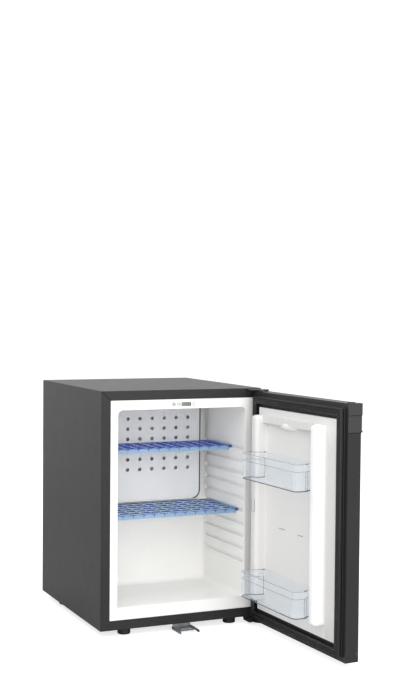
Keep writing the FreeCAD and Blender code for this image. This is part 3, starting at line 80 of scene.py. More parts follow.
def makeMaterial(name, look):
    # colour drifting between two tones, uneven gloss and a fine relief, all on object coordinates
    material = bpy.data.materials.new(name)
    material.use_nodes = True
    tree = material.node_tree
    tree.nodes.clear()
    place = addNode(tree, "ShaderNodeTexCoord")
    stretch = addNode(
        tree, "ShaderNodeMapping", {"Scale": look.get("stretch", (1, 1, 1))},
        {"Vector": place.outputs["Object"]},
    )
    drift = addNode(
        tree, "ShaderNodeTexNoise",
        {"Scale": perMetre(look.get("drift", 120)), "Detail": 5.0, "Roughness": 0.6},
        {"Vector": stretch.outputs["Vector"]},
    )
    tones = addNode(tree, "ShaderNodeValToRGB", {}, {"Fac": drift.outputs["Fac"]})
    tones.color_ramp.elements[0].position = 0.3
    tones.color_ramp.elements[1].position = 0.7
    tones.color_ramp.elements[0].color = colour(look["dark"])
    tones.color_ramp.elements[1].color = colour(look["light"])
    base = tones.outputs["Color"]
    if "faces" in look:
        # painted shade: tinted plastic is drawn deep along the top of a cross wall, where that face lies in shade,
        # paler below it, and paler again on other faces
        tone = look["faces"]
        facing = addNode(tree, "ShaderNodeSeparateXYZ", {}, {"Vector": place.outputs["Normal"]})
        height = addNode(tree, "ShaderNodeSeparateXYZ", {}, {"Vector": place.outputs["Object"]})
        lip = addNode(
            tree, "ShaderNodeMapRange", {"From Min": tone["line"][0], "From Max": tone["line"][1]},
            {"Value": height.outputs["Z"]},
        )
        wall = addNode(
            tree, "ShaderNodeMix", {"data_type": "RGBA", 6: colour(tone["low"]), 7: colour(tone["high"])},
            {0: lip.outputs["Result"]},
        )
        cross = addNode(tree, "ShaderNodeMath", {"operation": "ABSOLUTE"}, {0: facing.outputs["Y"]})
        turned = {"From Min": 0.4, "From Max": 0.7}  # how far a face has to turn that way
        crossEdge = addNode(tree, "ShaderNodeMapRange", turned, {"Value": cross.outputs["Value"]})
        walled = addNode(
            tree, "ShaderNodeMix", {"data_type": "RGBA"},
            {0: crossEdge.outputs["Result"], 6: base, 7: wall.outputs[2]},
        )
        denseLine = addNode(
            tree, "ShaderNodeMath", {"operation": "MULTIPLY"},
            {0: crossEdge.outputs["Result"], 1: lip.outputs["Result"]},
        )
        topEdge = addNode(tree, "ShaderNodeMapRange", turned, {"Value": facing.outputs["Z"]})
        topped = addNode(
            tree, "ShaderNodeMix", {"data_type": "RGBA", 7: colour(tone["top"])},
            {0: topEdge.outputs["Result"], 6: walled.outputs[2]},
        )
        base = topped.outputs[2]
    if "flat" in look:
        # painted shade: the flat of the formed door sheet, sunk between its raised ribs, gets a darker tone than
        # the ribs, so the tones part by height off the door
        tone = look["flat"]
        turn = Matrix.Rotation(-doorAngle, 3, "Z")
        local = addNode(
            tree, "ShaderNodeMapping", {"Location": -(turn @ doorPin), "Rotation": (0, 0, -doorAngle)},
            {"Vector": place.outputs["Object"]},
        )
        depth = addNode(tree, "ShaderNodeSeparateXYZ", {}, {"Vector": local.outputs["Vector"]})
        raised = addNode(
            tree, "ShaderNodeMapRange", {"From Min": tone["rise"][0], "From Max": tone["rise"][1]},
            {"Value": depth.outputs["Y"]},
        )
        # painted shade: the cross bar and the rib by the hinge get a grey tone for the shade beside the cabinet,
        # the free rib keeps the white
        hingeSideShade = addNode(
            tree, "ShaderNodeMapRange", {"From Min": tone["barEnd"][0], "From Max": tone["barEnd"][1]},
            {"Value": depth.outputs["X"]},
        )
        rib = addNode(
            tree, "ShaderNodeMix", {"data_type": "RGBA", 7: colour(tone["hingeRib"])},
            {0: hingeSideShade.outputs["Result"], 6: base},
        )
        # painted shade: the margin past the free rib is darker again, up to the rib's top, for the rib's shadow on
        # it
        inside = addNode(
            tree, "ShaderNodeMapRange", {"From Min": tone["marginEnd"][0], "From Max": tone["marginEnd"][1]},
            {"Value": depth.outputs["X"]},
        )
        above = addNode(
            tree, "ShaderNodeMapRange", {"From Min": tone["marginTop"][0], "From Max": tone["marginTop"][1]},
            {"Value": depth.outputs["Z"]},
        )
        brighter = addNode(
            tree, "ShaderNodeMath", {"operation": "MAXIMUM"},
            {0: inside.outputs["Result"], 1: above.outputs["Result"]},
        )
        shadedFlat = addNode(
            tree, "ShaderNodeMix", {"data_type": "RGBA", 6: colour(tone["margin"]), 7: colour(tone["tone"])},
            {0: brighter.outputs["Value"]},
        )
        mixed = addNode(
            tree, "ShaderNodeMix", {"data_type": "RGBA"},
            {0: raised.outputs["Result"], 6: shadedFlat.outputs[2], 7: rib.outputs[2]},
        )
        base = mixed.outputs[2]
    smear = addNode(
        tree, "ShaderNodeTexNoise", {"Scale": perMetre(look.get("smear", 40)), "Detail": 4.0},
        {"Vector": stretch.outputs["Vector"]},
    )
    gloss = addNode(
        tree, "ShaderNodeMapRange",
        {"From Min": 0.3, "From Max": 0.7, "To Min": look["rough"][0], "To Max": look["rough"][1]},
        {"Value": smear.outputs["Fac"]},
    )
    grain = addNode(
        tree, "ShaderNodeTexNoise", {"Scale": perMetre(look.get("grain", 1.4)), "Detail": 3.0},
        {"Vector": stretch.outputs["Vector"]},
    )
    bump = addNode(
        tree, "ShaderNodeBump", {"Strength": look.get("relief", 0.08), "Distance": 0.0004},
        {"Height": grain.outputs["Fac"]},
    )
    shader = addNode(
        tree, "ShaderNodeBsdfPrincipled", look.get("sockets", {}),
        {"Base Color": base, "Roughness": gloss.outputs["Result"], "Normal": bump.outputs["Normal"]},
    )
    if "clear" in look:
        # see-through face on, denser where the surface turns away
        weight = addNode(tree, "ShaderNodeLayerWeight", {"Blend": 0.35})
        dense = addNode(
            tree, "ShaderNodeMapRange", {"To Min": look["clear"][0], "To Max": look["clear"][1]},
            {"Value": weight.outputs["Facing"]},
        )
        alpha = dense.outputs["Result"]
        if "faces" in look:
            denser = addNode(
                tree, "ShaderNodeMath", {"operation": "MAXIMUM"}, {0: alpha, 1: denseLine.outputs["Value"]}
            )
            alpha = denser.outputs["Value"]
        tree.links.new(alpha, shader.inputs["Alpha"])
    addNode(tree, "ShaderNodeOutputMaterial", {}, {"Surface": shader.outputs["BSDF"]})
    return material


# drift, smear and grain are sizes in millimetres
looks = {
    # polyester powder coat, baked: satin, with an orange peel of under 1 mm, drawn coarser to show
    "powderCoat": {
        "dark": "#262627", "light": "#2a2a2b", "rough": (0.4, 0.425), "drift": 180, "grain": 1.5,
        "relief": 0.10, "sockets": {"Specular IOR Level": 0.24},
    },
    # the same coat on the door, a touch darker
    "powderCoatDoor": {
        "dark": "#232324", "light": "#272728", "rough": (0.39, 0.42), "drift": 160, "grain": 1.5,
        "relief": 0.10, "sockets": {"Specular IOR Level": 0.28},
    },
    # folded corner of the sheet: a hairline in shadow
    "foldShadow": {
        "dark": "#0c0c0c", "light": "#141414", "rough": (0.6, 0.7), "sockets": {"Specular IOR Level": 0.1},
    },
    # high impact polystyrene, vacuum formed: white with a soft sheen
    "formedStyrene": {
        "dark": "#f3f2ef", "light": "#f8f7f4", "rough": (0.34, 0.46), "drift": 140, "grain": 2.2,
        "relief": 0.04, "sockets": {"IOR": 1.59, "Specular IOR Level": 0.4},
    },
    # the same sheet on the door, with painted shade: darker flats between the ribs, a grey cross bar and hinge
    # rib, a darker margin
    "doorStyrene": {
        "dark": "#f6f6f5", "light": "#fafaf9", "rough": (0.3, 0.42), "drift": 140, "grain": 2.2,
        "relief": 0.04, "sockets": {"IOR": 1.59, "Specular IOR Level": 0.4},
        "flat": {
            "tone": "#e4e3e1", "margin": "#cfcecc", "hingeRib": "#dcdbd9",
            # where one tone turns into the next, in metres from the pin: off the door, along it twice and up it
            "rise": (0.0212, 0.0275), "barEnd": (-0.290, -0.284), "marginEnd": (-0.324, -0.318),
            "marginTop": (0.44, 0.50),
        },
    },
    # raised mould marks of the same sheet: they read grey from the shadow along them
    "markStyrene": {
        "dark": "#9f9e9c", "light": "#a9a8a6", "rough": (0.4, 0.5), "relief": 0.02, "sockets": {"IOR": 1.59},
    },
    # coated aluminium sheet: white, flatter than the liner
    "coatedSheet": {
        "dark": "#e6e6e6", "light": "#ededed", "rough": (0.38, 0.5), "drift": 110, "grain": 1.8, "relief": 0.05,
    },
    # polyurethane foam, blown: matt straw colour with open cells, drawn at 2.5 mm
    "blownFoam": {
        "dark": "#dfcf9a", "light": "#ecdfb4", "rough": (0.8, 0.95), "drift": 40, "grain": 2.5, "relief": 0.5,
    },
    # hot dip galvanised sheet: grey with a spangle of about 14 mm
    "galvanisedSheet": {
        "dark": "#94969a", "light": "#b6b8bb", "rough": (0.34, 0.52), "drift": 14, "smear": 18, "relief": 0.06,
        "sockets": {"Metallic": 0.9},
    },
    # zinc plated steel, drawn: bright with fine lines along it
    "zincSteel": {
        "dark": "#9c9d9f", "light": "#babbbd", "rough": (0.24, 0.4), "drift": 25, "stretch": (1, 6, 1),
        "relief": 0.12, "sockets": {"Metallic": 0.95},
    },
    # zinc plate with a dull passivated face
    "zincPlate": {
        "dark": "#76787a", "light": "#8e9092", "rough": (0.3, 0.46), "drift": 20, "stretch": (4, 1, 1),
        "relief": 0.1, "sockets": {"Metallic": 0.9},
    },
    # rolled aluminium: pale with rolling lines
    "rolledAluminium": {
        "dark": "#b4b6b8", "light": "#d0d2d4", "rough": (0.28, 0.45), "drift": 30, "stretch": (1, 1, 8),
        "relief": 0.1, "sockets": {"Metallic": 0.9},
    },
    # black lacquer on steel tube: uneven gloss where it ran
    "blackLacquer": {
        "dark": "#141414", "light": "#222222", "rough": (0.3, 0.55), "drift": 60, "smear": 22, "relief": 0.15,
    },
    # ABS with a spark eroded texture of about 1 mm: black and dull
    "texturedAbs": {"dark": "#141414", "light": "#1e1e1e", "rough": (0.45, 0.6), "grain": 1.0, "relief": 0.2},
    # the same moulding in charcoal, close to the paint beside it
    "charcoalAbs": {"dark": "#252526", "light": "#2c2c2d", "rough": (0.42, 0.55), "grain": 1.0, "relief": 0.18},
    # acrylic window over a display: dark and glassy
    "displayAcrylic": {
        "dark": "#23281f", "light": "#2b3127", "rough": (0.08, 0.16), "relief": 0.02, "sockets": {"IOR": 1.49},
    },
    # lit segments behind the window: a faint pale green
    "litSegment": {
        "dark": "#c6cfc2", "light": "#d4dbd0", "rough": (0.4, 0.5), "relief": 0.02,
        "sockets": {"Emission Color": colour("#d0d8cc"), "Emission Strength": 0.15},
    },
    # frosted acrylic over a small lamp: a smooth, warm white dot
    "lampAcrylic": {
        "dark": "#d9d9c8", "light": "#e8e8da", "rough": (0.15, 0.25), "relief": 0.05, "sockets": {"IOR": 1.49},
    },
    # painted shadow: a mid grey, dull strip standing for the shadow gap along the baffle's edges
    "baffleShadowGrey": {"dark": "#353536", "light": "#414142", "rough": (0.5, 0.65), "relief": 0.05},
    # pad printed ink on ABS: a flat grey
    "greyInk": {"dark": "#5c5c5c", "light": "#6a6a6a", "rough": (0.5, 0.6), "relief": 0.02},
    # ABS key caps, moulded: pale grey and satin
    "keyAbs": {"dark": "#cfcfcf", "light": "#dadada", "rough": (0.4, 0.5), "relief": 0.1},
    # ABS strip, moulded: white, a little glossier than its keys
    "fasciaAbs": {"dark": "#e8e8e7", "light": "#f0f0ef", "rough": (0.35, 0.45), "relief": 0.05},
    # glass fibre board under resist: deep green with a slight gloss
    "greenBoard": {"dark": "#123f22", "light": "#1c5a33", "rough": (0.4, 0.5), "drift": 12, "relief": 0.2},
    # moulded nitrile: dull black
    "mouldedRubber": {
        "dark": "#121212", "light": "#1c1c1c", "rough": (0.55, 0.75), "grain": 1.2, "relief": 0.3,
    },
    # extruded soft PVC: dark, smooth along its run
    "extrudedPvc": {
        "dark": "#121213", "light": "#171718", "rough": (0.4, 0.52), "drift": 90, "grain": 1.6, "relief": 0.08,
        "sockets": {"Specular IOR Level": 0.35},
    },
    # blue tinted polystyrene, injection moulded: clear and glossy, with a painted shadow as a dark line along the
    # top of a wall, which begins between the two heights given, in metres
    "upperBlue": {
        "dark": "#7fabe4", "light": "#92b9ea", "rough": (0.12, 0.22), "relief": 0.03, "clear": (0.42, 0.8),
        "faces": {"line": (0.4138, 0.4146), "high": "#0f2c9c", "low": "#c0d8f6", "top": "#86aeea"},
        "sockets": {"IOR": 1.59},
    },
    # the same plastic lower down, where less light comes through it: a greyer blue
    "lowerBlue": {
        "dark": "#8fb8e2", "light": "#a2c5e8", "rough": (0.12, 0.22), "relief": 0.03, "clear": (0.42, 0.8),
        "faces": {"line": (0.2653, 0.2661), "high": "#122f78", "low": "#b6d3ee", "top": "#88b0de"},
        "sockets": {"IOR": 1.59},
    },
    # its front edge: paler, with less of it to look through
    "blueApron": {
        "dark": "#8fb2d4", "light": "#9fbfde", "rough": (0.1, 0.2), "relief": 0.03, "clear": (0.55, 0.85),
        "sockets": {"IOR": 1.59},
    },
    # its bars seen end on: the deepest blue, which also draws the painted shadow under the front bar's top
    "blueDeep": {
        "dark": "#16348a", "light": "#1d3f9a", "rough": (0.15, 0.25), "relief": 0.03, "sockets": {"IOR": 1.59},
    },
    # clear polystyrene, injection moulded: a faint blue, with dark lines where its edges bend the light
    "clearStyrene": {
        "dark": "#cfe1f1", "light": "#dae8f5", "rough": (0.06, 0.14), "relief": 0.02, "clear": (0.016, 0.17),
        "sockets": {"IOR": 1.59},
    },
    # rims and corners of the same plastic, where it looks grey from the light it turns aside
    "clearEdge": {
        "dark": "#6f7d89", "light": "#7d8a95", "rough": (0.08, 0.16), "relief": 0.02, "clear": (0.5, 0.85),
        "sockets": {"IOR": 1.59},
    },
    # its foot, where the wall and the floor meet: the darkest line, painted shade
    "clearFoot": {
        "dark": "#262c31", "light": "#30363b", "rough": (0.08, 0.16), "relief": 0.02, "clear": (0.85, 0.99),
        "sockets": {"IOR": 1.59},
    },
    # painted highlight: a thick corner of it, drawn milky, with a bright edge
    "clearPost": {
        "dark": "#e4ebf2", "light": "#edf2f7", "rough": (0.08, 0.16), "relief": 0.02, "clear": (0.06, 0.3),
        "sockets": {"IOR": 1.59},
    },
    # chrome plate: mirror bright with faint wipe marks
    "chromePlate": {
        "dark": "#b4b4b6", "light": "#c8c8ca", "rough": (0.08, 0.18), "smear": 6, "relief": 0.03,
        "sockets": {"Metallic": 1.0},
    },
}
materials = {name: makeMaterial(name, look) for name, look in looks.items()}

nodeLooks = {
    "powderCoat": ["cabinet_wrapper", "base_pan", "upper_hinge_bracket", "lower_hinge_bracket", "hinge_screws"],
    "powderCoatDoor": ["door_skin"],
    "formedStyrene": ["cabinet_liner", "upper_door_bush", "lower_door_bush"],
    "doorStyrene": ["door_liner"],
    "coatedSheet": ["baffle_plate", "baffle_screws"],
    "zincPlate": ["lock_strike"],
    "blownFoam": ["cabinet_foam", "door_foam", "evaporator_plug"],
    "galvanisedSheet": ["rear_panel", "vessel_cradle", "boiler_bracket", "boiler_jacket"],
    "zincSteel": ["strike_screws", "upper_hinge_pin", "lower_hinge_pin", "heater_cartridge", "lock_cam"],
    "rolledAluminium": ["evaporator_fins", "condenser_fins"],
    "blackLacquer": ["evaporator_tube", "condenser_tube", "boiler_tube", "absorber_vessel", "absorber_coil"],
    "texturedAbs": ["controller_box", "power_inlet", "lock_housing", "hinge_hole_plug"],
    "charcoalAbs": ["door_corner_cap"],
    "displayAcrylic": ["display_window"],
    "lampAcrylic": ["lamp_lens"],
    "keyAbs": ["left_key", "right_key"],
    "fasciaAbs": ["control_fascia"],
    "greenBoard": ["control_board"],
    "mouldedRubber": ["front_left_foot", "front_right_foot", "rear_left_foot", "rear_right_foot"],
    "extrudedPvc": ["door_gasket", "gasket_magnets"],
    "upperBlue": ["upper_shelf"],
    "lowerBlue": ["lower_shelf"],
    "clearStyrene": ["upper_bin", "lower_bin"],
    "chromePlate": ["lock_barrel"],
}
for lookName, members in nodeLooks.items():
    for member in members:
        mesh = nodes[member].data
        mesh.materials.clear()
        mesh.materials.append(materials[lookName])
print("stage: materials on", sum(len(members) for members in nodeLooks.values()), "nodes")

# Helpers for new pieces
smallestRadius = 0.3  # millimetres
mergeGap = 0.002  # millimetres
sharpAngle = math.radians(32)


def addBlock(bm, low, high, bevel=0.0, segments=2):
    # a block between two corners with its edges rounded
    low, high = Vector(low), Vector(high)
    stretch = Matrix.Translation((low + high) / 2) @ Matrix.Diagonal((*(high - low), 1.0))
    made = bmesh.ops.create_cube(bm, size=1.0, matrix=stretch)["verts"]
    if bevel:
        edges = list({edge for vert in made for edge in vert.link_edges})
        bmesh.ops.bevel(
            bm, geom=edges, offset=bevel, offset_type="OFFSET", segments=segments, profile=0.5,
            affect="EDGES", material=-1,
        )


def addTurned(bm, centre, axis, profile, steps=40):
    # spin a profile of (distance along the axis, radius) pairs, closed on itself or, at its foot, on the axis
    foot, head = profile[0], profile[-1]
    if foot[1] and head[1]:
        profile = [*profile, foot]
    elif foot[1]:
        profile = [(foot[0], 0.0), *profile]
    axis = Vector(axis)
    across = axis.orthogonal().normalized()
    verts = [bm.verts.new(Vector(centre) + axis * along + across * radius) for along, radius in profile]
    edges = [bm.edges.new(pair) for pair in zip(verts, verts[1:])]
    bmesh.ops.spin(
        bm, geom=verts + edges, cent=centre, axis=axis, angle=math.tau, steps=steps,
        use_merge=True, use_duplicate=False,
    )


def addLoops(bm, loops, closed=False, caps=False):
    # bridge closed loops of points one after another
    made = []
    for points in loops:
        verts = [bm.verts.new(point) for point in points]
        made.append([bm.edges.new((vert, verts[(index + 1) % len(verts)])) for index, vert in enumerate(verts)])
    for first, second in zip(made, made[1:] + made[:1] if closed else made[1:]):
        bmesh.ops.bridge_loops(bm, edges=first + second)
    if caps:
        for edges in (made[0], made[-1]):
            bmesh.ops.edgeloop_fill(bm, edges=edges)


def roundOutline(corners, radii, steps=6):
    # a closed outline with each corner turned into an arc
    points = []
    for index, corner in enumerate(corners):
        here = Vector(corner)
        inward = (Vector(corners[index - 1]) - here).normalized()
        outward = (Vector(corners[(index + 1) % len(corners)]) - here).normalized()
        half = inward.angle(outward) / 2
        centre = here + (inward + outward).normalized() * (radii[index] / math.sin(half))
        start = here + inward * (radii[index] / math.tan(half)) - centre
        end = here + outward * (radii[index] / math.tan(half)) - centre
        sweep = start.angle_signed(end)
        for step in range(steps + 1):
            points.append(centre + Matrix.Rotation(-sweep * step / steps, 2) @ start)
    return points


def growOutline(corners, radii, amount):
    # an outline, anticlockwise, moved outwards on every side
    grown, grownRadii = [], []
    for index, corner in enumerate(corners):
        before = (Vector(corner) - Vector(corners[index - 1])).normalized()
        after = (Vector(corners[(index + 1) % len(corners)]) - Vector(corner)).normalized()
        push = Vector((before.y, -before.x)) + Vector((after.y, -after.x))
        grown.append(Vector(corner) + push * amount / (1 + before.dot(after)))
        outside = before.x * after.y - before.y * after.x > 0
        grownRadii.append(max(radii[index] + (amount if outside else -amount), smallestRadius))
    return roundOutline(grown, grownRadii)


def finishPiece(bm, piece):
    # close it, smooth it up to its sharp edges, place it and hang it on its body
    bmesh.ops.remove_doubles(bm, verts=bm.verts, dist=mergeGap)
    bmesh.ops.recalc_face_normals(bm, faces=bm.faces)
    bmesh.ops.transform(bm, matrix=piece.get("place", cabinetFrame), verts=bm.verts)
    for face in bm.faces:
        face.smooth = True
    for edge in bm.edges:
        edge.smooth = len(edge.link_faces) == 2 and edge.calc_face_angle(0) < sharpAngle
    mesh = bpy.data.meshes.new(piece["name"])
    bm.to_mesh(mesh)
    bm.free()
    mesh.materials.append(materials[piece["look"]])
    made = bpy.data.objects.new(piece["name"], mesh)
    bpy.context.scene.collection.objects.link(made)
    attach(made, piece["body"])
    if "replaces" in piece:
        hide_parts(*piece["replaces"])


# Door seal: a folded section of (inset from the door's edge, height over its inner face)
seal = {
    "name": "doorSeal", "look": "extrudedPvc", "body": "door", "slot": "grey_rubber", "place": doorFrame,
    "replaces": ["door_gasket"],
    "section": [
        (10.0, 0.0), (10.0, 1.8), (10.8, 2.8), (12.4, 3.0), (13.6, 3.6), (13.8, 5.0), (12.2, 6.0),
        (11.0, 7.2), (11.0, 10.2), (11.6, 11.3), (12.8, 11.7), (14.4, 11.6), (15.0, 10.2), (15.9, 10.1),
        (16.5, 11.5), (17.7, 11.7), (19.1, 11.6), (19.7, 10.2), (20.6, 10.1), (21.2, 11.5), (25.2, 11.7),
        (26.6, 11.2), (27.2, 10.0), (26.8, 8.6), (25.4, 7.6), (22.6, 7.0), (21.2, 6.0), (20.8, 4.6),
        (21.8, 3.4), (24.0, 3.0), (32.6, 2.7), (34.4, 2.0), (35.0, 0.8), (35.0, 0.0),
    ],
}
bm = bmesh.new()
loops = []
for inset, height in seal["section"]:
    left, right, low, high = door["free"] + inset, door["hinge"] - inset, inset, door["tall"] - inset
    corners = ((left, low), (right, low), (right, high), (left, high))
    loops.append([(x, door["inner"] + height, z) for x, z in corners])
addLoops(bm, loops, closed=True)
finishPiece(bm, seal)

# Door bins: a stepped tray with a band round the rim, hooked ears, painted shade lines along its edges and thick
# front corners with a painted highlight
trays = {
    "upperBin": {"bottom": 349.0, "body": "upper_bin"},
    "lowerBin": {"bottom": 77.0, "body": "lower_bin"},
}
trayShape = {
    "outline": [
        (-111.5, 22.5), (111.5, 22.5), (111.5, 50.6), (121.5, 50.6),
        (121.5, 84.5), (-121.5, 84.5), (-121.5, 50.6), (-111.5, 50.6),
    ],
    "radii": [4, 4, 3, 4, 12, 12, 4, 3],
    # how far the outline grows, and its height over the tray's bottom
    "rings": [
        (-1.6, 0.0), (-0.5, 0.5), (0.0, 1.8), (0.0, 41.6), (0.2, 42.3), (0.9, 42.8), (1.0, 43.4), (1.0, 57.8),
        (0.8, 58.7), (0.1, 59.0), (-1.2, 59.0), (-1.8, 58.7), (-2.0, 58.0), (-2.0, 5.0), (-2.4, 3.2),
        (-3.8, 2.2), (-5.0, 2.0),
    ],
    # ears that hook on the door: reach from the tray's middle, distance off the door, height
    "ears": {"reach": (111.0, 116.0), "off": (28.0, 39.0), "height": (46.5, 53.0), "round": 0.8},
    # painted shade: dark lines round the tray, where its edges turn the light aside, each as growth, height and
    # half its width
    "lines": {"ShadeLinesAndTabs": [(0.45, 58.75, 0.5), (0.62, 42.9, 0.5)], "Foot": [(-0.6, 1.1, 1.0)]},
    "lineLooks": {"ShadeLinesAndTabs": "clearEdge", "Foot": "clearFoot"},
    "backPoints": 13,
    # painted shade: dark upright lines at the ends, as (along the door from the tray's middle, off the door)
    "uprights": {
        "places": [(-121.2, 53.4), (-121.3, 58.6), (111.2, 27.4)],
        "half": 0.5, "height": (1.6, 42.6), "round": 0.3,
    },
    # tabs that are pressed to free the tray, as (from, to, off the door)
    "tabs": {
        "places": [(-120.4, -116.6, 52.4), (107.6, 111.0, 26.0)],
        "wide": 5.0, "height": (57.6, 60.0), "round": 0.6,
    },
    # thick front corners carrying a painted highlight, drawn round from a little of the front to the end wall
    "corners": {
        "at": (109.5, 72.5), "outer": 11.4, "inner": 10.0, "front": 2.0, "end": 17.0, "low": 2.4, "tall": 56.0,
    },
}
for name, tray in trays.items():
    shared = {"body": tray["body"], "slot": "clear_plastic", "place": doorFrame}
    bottom, middle = tray["bottom"], door["recess"]
    bm = bmesh.new()
    loops = []
    for grow, height in trayShape["rings"]:
        outline = growOutline(trayShape["outline"], trayShape["radii"], grow)
        loops.append([(middle + spot.x, spot.y, bottom + height) for spot in outline])
    addLoops(bm, loops, caps=True)
    ears = trayShape["ears"]
    for side in (-1, 1):
        inner, outer = sorted(middle + side * reach for reach in ears["reach"])
        low = (inner, ears["off"][0], bottom + ears["height"][0])
        high = (outer, ears["off"][1], bottom + ears["height"][1])
        addBlock(bm, low, high, ears["round"])
    finishPiece(bm, {**shared, "name": name + "Tray", "look": "clearStyrene", "replaces": [tray["body"]]})

    for part, lines in trayShape["lines"].items():
        bm = bmesh.new()
        for grow, height, half in lines:
            runs = []
            for out, rise in ((-half, 0.0), (0.0, half), (half, 0.0), (0.0, -half)):
                outline = growOutline(trayShape["outline"], trayShape["radii"], grow + out)
                # the ends and the front, without the back
                shown = outline[trayShape["backPoints"]:] + outline[:1]
                runs.append([(middle + spot.x, spot.y, bottom + height + rise) for spot in shown])
            addLoops(bm, list(zip(*runs)), caps=True)
        if part == "ShadeLinesAndTabs":
            uprights, tabs = trayShape["uprights"], trayShape["tabs"]
            half, (start, end) = uprights["half"], uprights["height"]
            for away, off in uprights["places"]:
                x = middle + away
                low, high = (x - half, off - half, bottom + start), (x + half, off + half, bottom + end)
                addBlock(bm, low, high, uprights["round"])
            start, end = tabs["height"]
            for inner, outer, off in tabs["places"]:
                low = (middle + inner, off, bottom + start)
                high = (middle + outer, off + tabs["wide"], bottom + end)
                addBlock(bm, low, high, tabs["round"])
        finishPiece(bm, {**shared, "name": name + part, "look": trayShape["lineLooks"][part]})

    corners = trayShape["corners"]
    bm = bmesh.new()
    for side in (-1, 1):
        centre = Vector((middle + side * corners["at"][0], corners["at"][1]))
        # a quarter turn in eight steps
        angles = [step * math.pi / 16 for step in range(9)]
        arc = [Vector((math.sin(angle) * side, math.cos(angle))) for angle in angles]
        rims = []
        for radius in (corners["outer"], corners["inner"]):
            first = centre + Vector((-corners["front"] * side, radius))
            last = centre + Vector((radius * side, -corners["end"]))
            rims.append([first, *(centre + spot * radius for spot in arc), last])
        rim = rims[0] + rims[1][::-1]
        face = bm.faces.new([bm.verts.new((spot.x, spot.y, bottom + corners["low"])) for spot in rim])
        lifted = bmesh.ops.extrude_face_region(bm, geom=[face])["geom"]
        lifted = [item for item in lifted if isinstance(item, bmesh.types.BMVert)]
        bmesh.ops.translate(bm, vec=(0, 0, corners["tall"]), verts=lifted)
    finishPiece(bm, {**shared, "name": name + "Corners", "look": "clearPost"})
print("stage: seal and bins")

# Shelves: a pale front apron with the ends of the long bars showing through, and deep blue rail ends
shelves = {
    "upperShelf": {"front": 85.0, "top": 416.6, "body": "upper_shelf"},
    "lowerShelf": {"front": 46.0, "top": 268.1, "body": "lower_shelf"},
}
apron = {
    "half": 159.0, "height": 10.0, "proud": 0.5, "sink": 0.1, "over": 0.2, "round": 0.2,
    # ends of the long bars
    "columns": 12, "columnInset": 1.8, "tick": 1.7, "tickLow": 6.4, "tickTop": 0.4, "tickProud": 0.15,
    # shadow under the front bar's rounded top
    "dash": 15.0, "dashLow": 1.1, "dashTop": 0.15,
    # deep blue ends of the rails
    "railGap": 0.1, "railEnd": 165.2, "railProud": 0.2, "railBack": 7.0, "railLow": 4.9, "railTop": 0.1,
    "railRound": 0.4,
}
for name, shelf in shelves.items():
    shared = {"body": shelf["body"], "slot": "blue_plastic"}
    front, top = shelf["front"], shelf["top"]
    half, face = apron["half"], front - apron["proud"]
    bm = bmesh.new()
    low, high = (-half, face, top - apron["height"]), (half, front + apron["sink"], top + apron["over"])
    addBlock(bm, low, high, apron["round"], 1)
    finishPiece(bm, {**shared, "name": name + "Apron", "look": "blueApron"})
    bm = bmesh.new()
    near, far = face - apron["tickProud"], face + apron["sink"]
    for column in range(apron["columns"] + 1):
        x = (column / apron["columns"] * 2 - 1) * (half - apron["columnInset"])
        left, right = x - apron["tick"] / 2, x + apron["tick"] / 2
        addBlock(bm, (left, near, top - apron["tickLow"]), (right, far, top - apron["tickTop"]))
        # the shadow is broken between the long bars
        left, right = max(x - apron["dash"] / 2, -half), min(x + apron["dash"] / 2, half)
        addBlock(bm, (left, near, top - apron["dashLow"]), (right, far, top + apron["dashTop"]))
    for side in (-1, 1):
        left, right = sorted((side * (half + apron["railGap"]), side * apron["railEnd"]))
        low = (left, front - apron["railProud"], top - apron["railLow"])
        high = (right, front + apron["railBack"], top + apron["railTop"])
        addBlock(bm, low, high, apron["railRound"])
    finishPiece(bm, {**shared, "name": name + "Ticks", "look": "blueDeep"})
print("stage: shelves")

# Front frame: hairlines where the sheet is folded at the upper corners
frameFold = {"outer": 200.0, "inner": 179.2, "top": 560.0, "innerTop": 539.2, "width": 1.2, "thick": 0.4}
bm = bmesh.new()
for side in (-1, 1):
    start = Vector((side * frameFold["outer"], 0.0, frameFold["top"]))
    run = Vector((side * frameFold["inner"], 0.0, frameFold["innerTop"])) - start
    turn = Vector((1, 0, 0)).rotation_difference(run).to_matrix().to_4x4()
    size = Matrix.Diagonal((run.length, frameFold["thick"], frameFold["width"], 1.0))
    bmesh.ops.create_cube(bm, size=1.0, matrix=Matrix.Translation(start + run / 2) @ turn @ size)
finishPiece(bm, {"name": "frameFolds", "look": "foldShadow", "body": "cabinet", "slot": "charcoal_paint"})

# Baffle edge: a painted shadow along the gap behind the sheet, drawn as a strip pushed over the sheet's edge
shadowStrip = {
    "half": 139.0, "low": 271.0, "high": 514.0, "radii": [20, 20, 2, 2],
    # its section, as (growth of the outline, depth)
    "section": [(-0.6, 217.5), (2.4, 217.5), (2.4, 221.5), (0.0, 221.5)],
}
bm = bmesh.new()
half, low, high = shadowStrip["half"], shadowStrip["low"], shadowStrip["high"]
corners = [(-half, low), (half, low), (half, high), (-half, high)]
loops = []
for grow, depth in shadowStrip["section"]:
    outline = growOutline(corners, shadowStrip["radii"], grow)
    loops.append([(spot.x, depth, spot.y) for spot in outline])
addLoops(bm, loops, closed=True)
finishPiece(bm, {"name": "baffleShadowStrip", "look": "baffleShadowGrey", "body": "cabinet", "slot": "grey_rubber"})

# Control strip: where its keys and lamp stand
controls = {"level": 527.0, "leftKey": -24.0, "rightKey": -11.4, "lamp": 25.3}

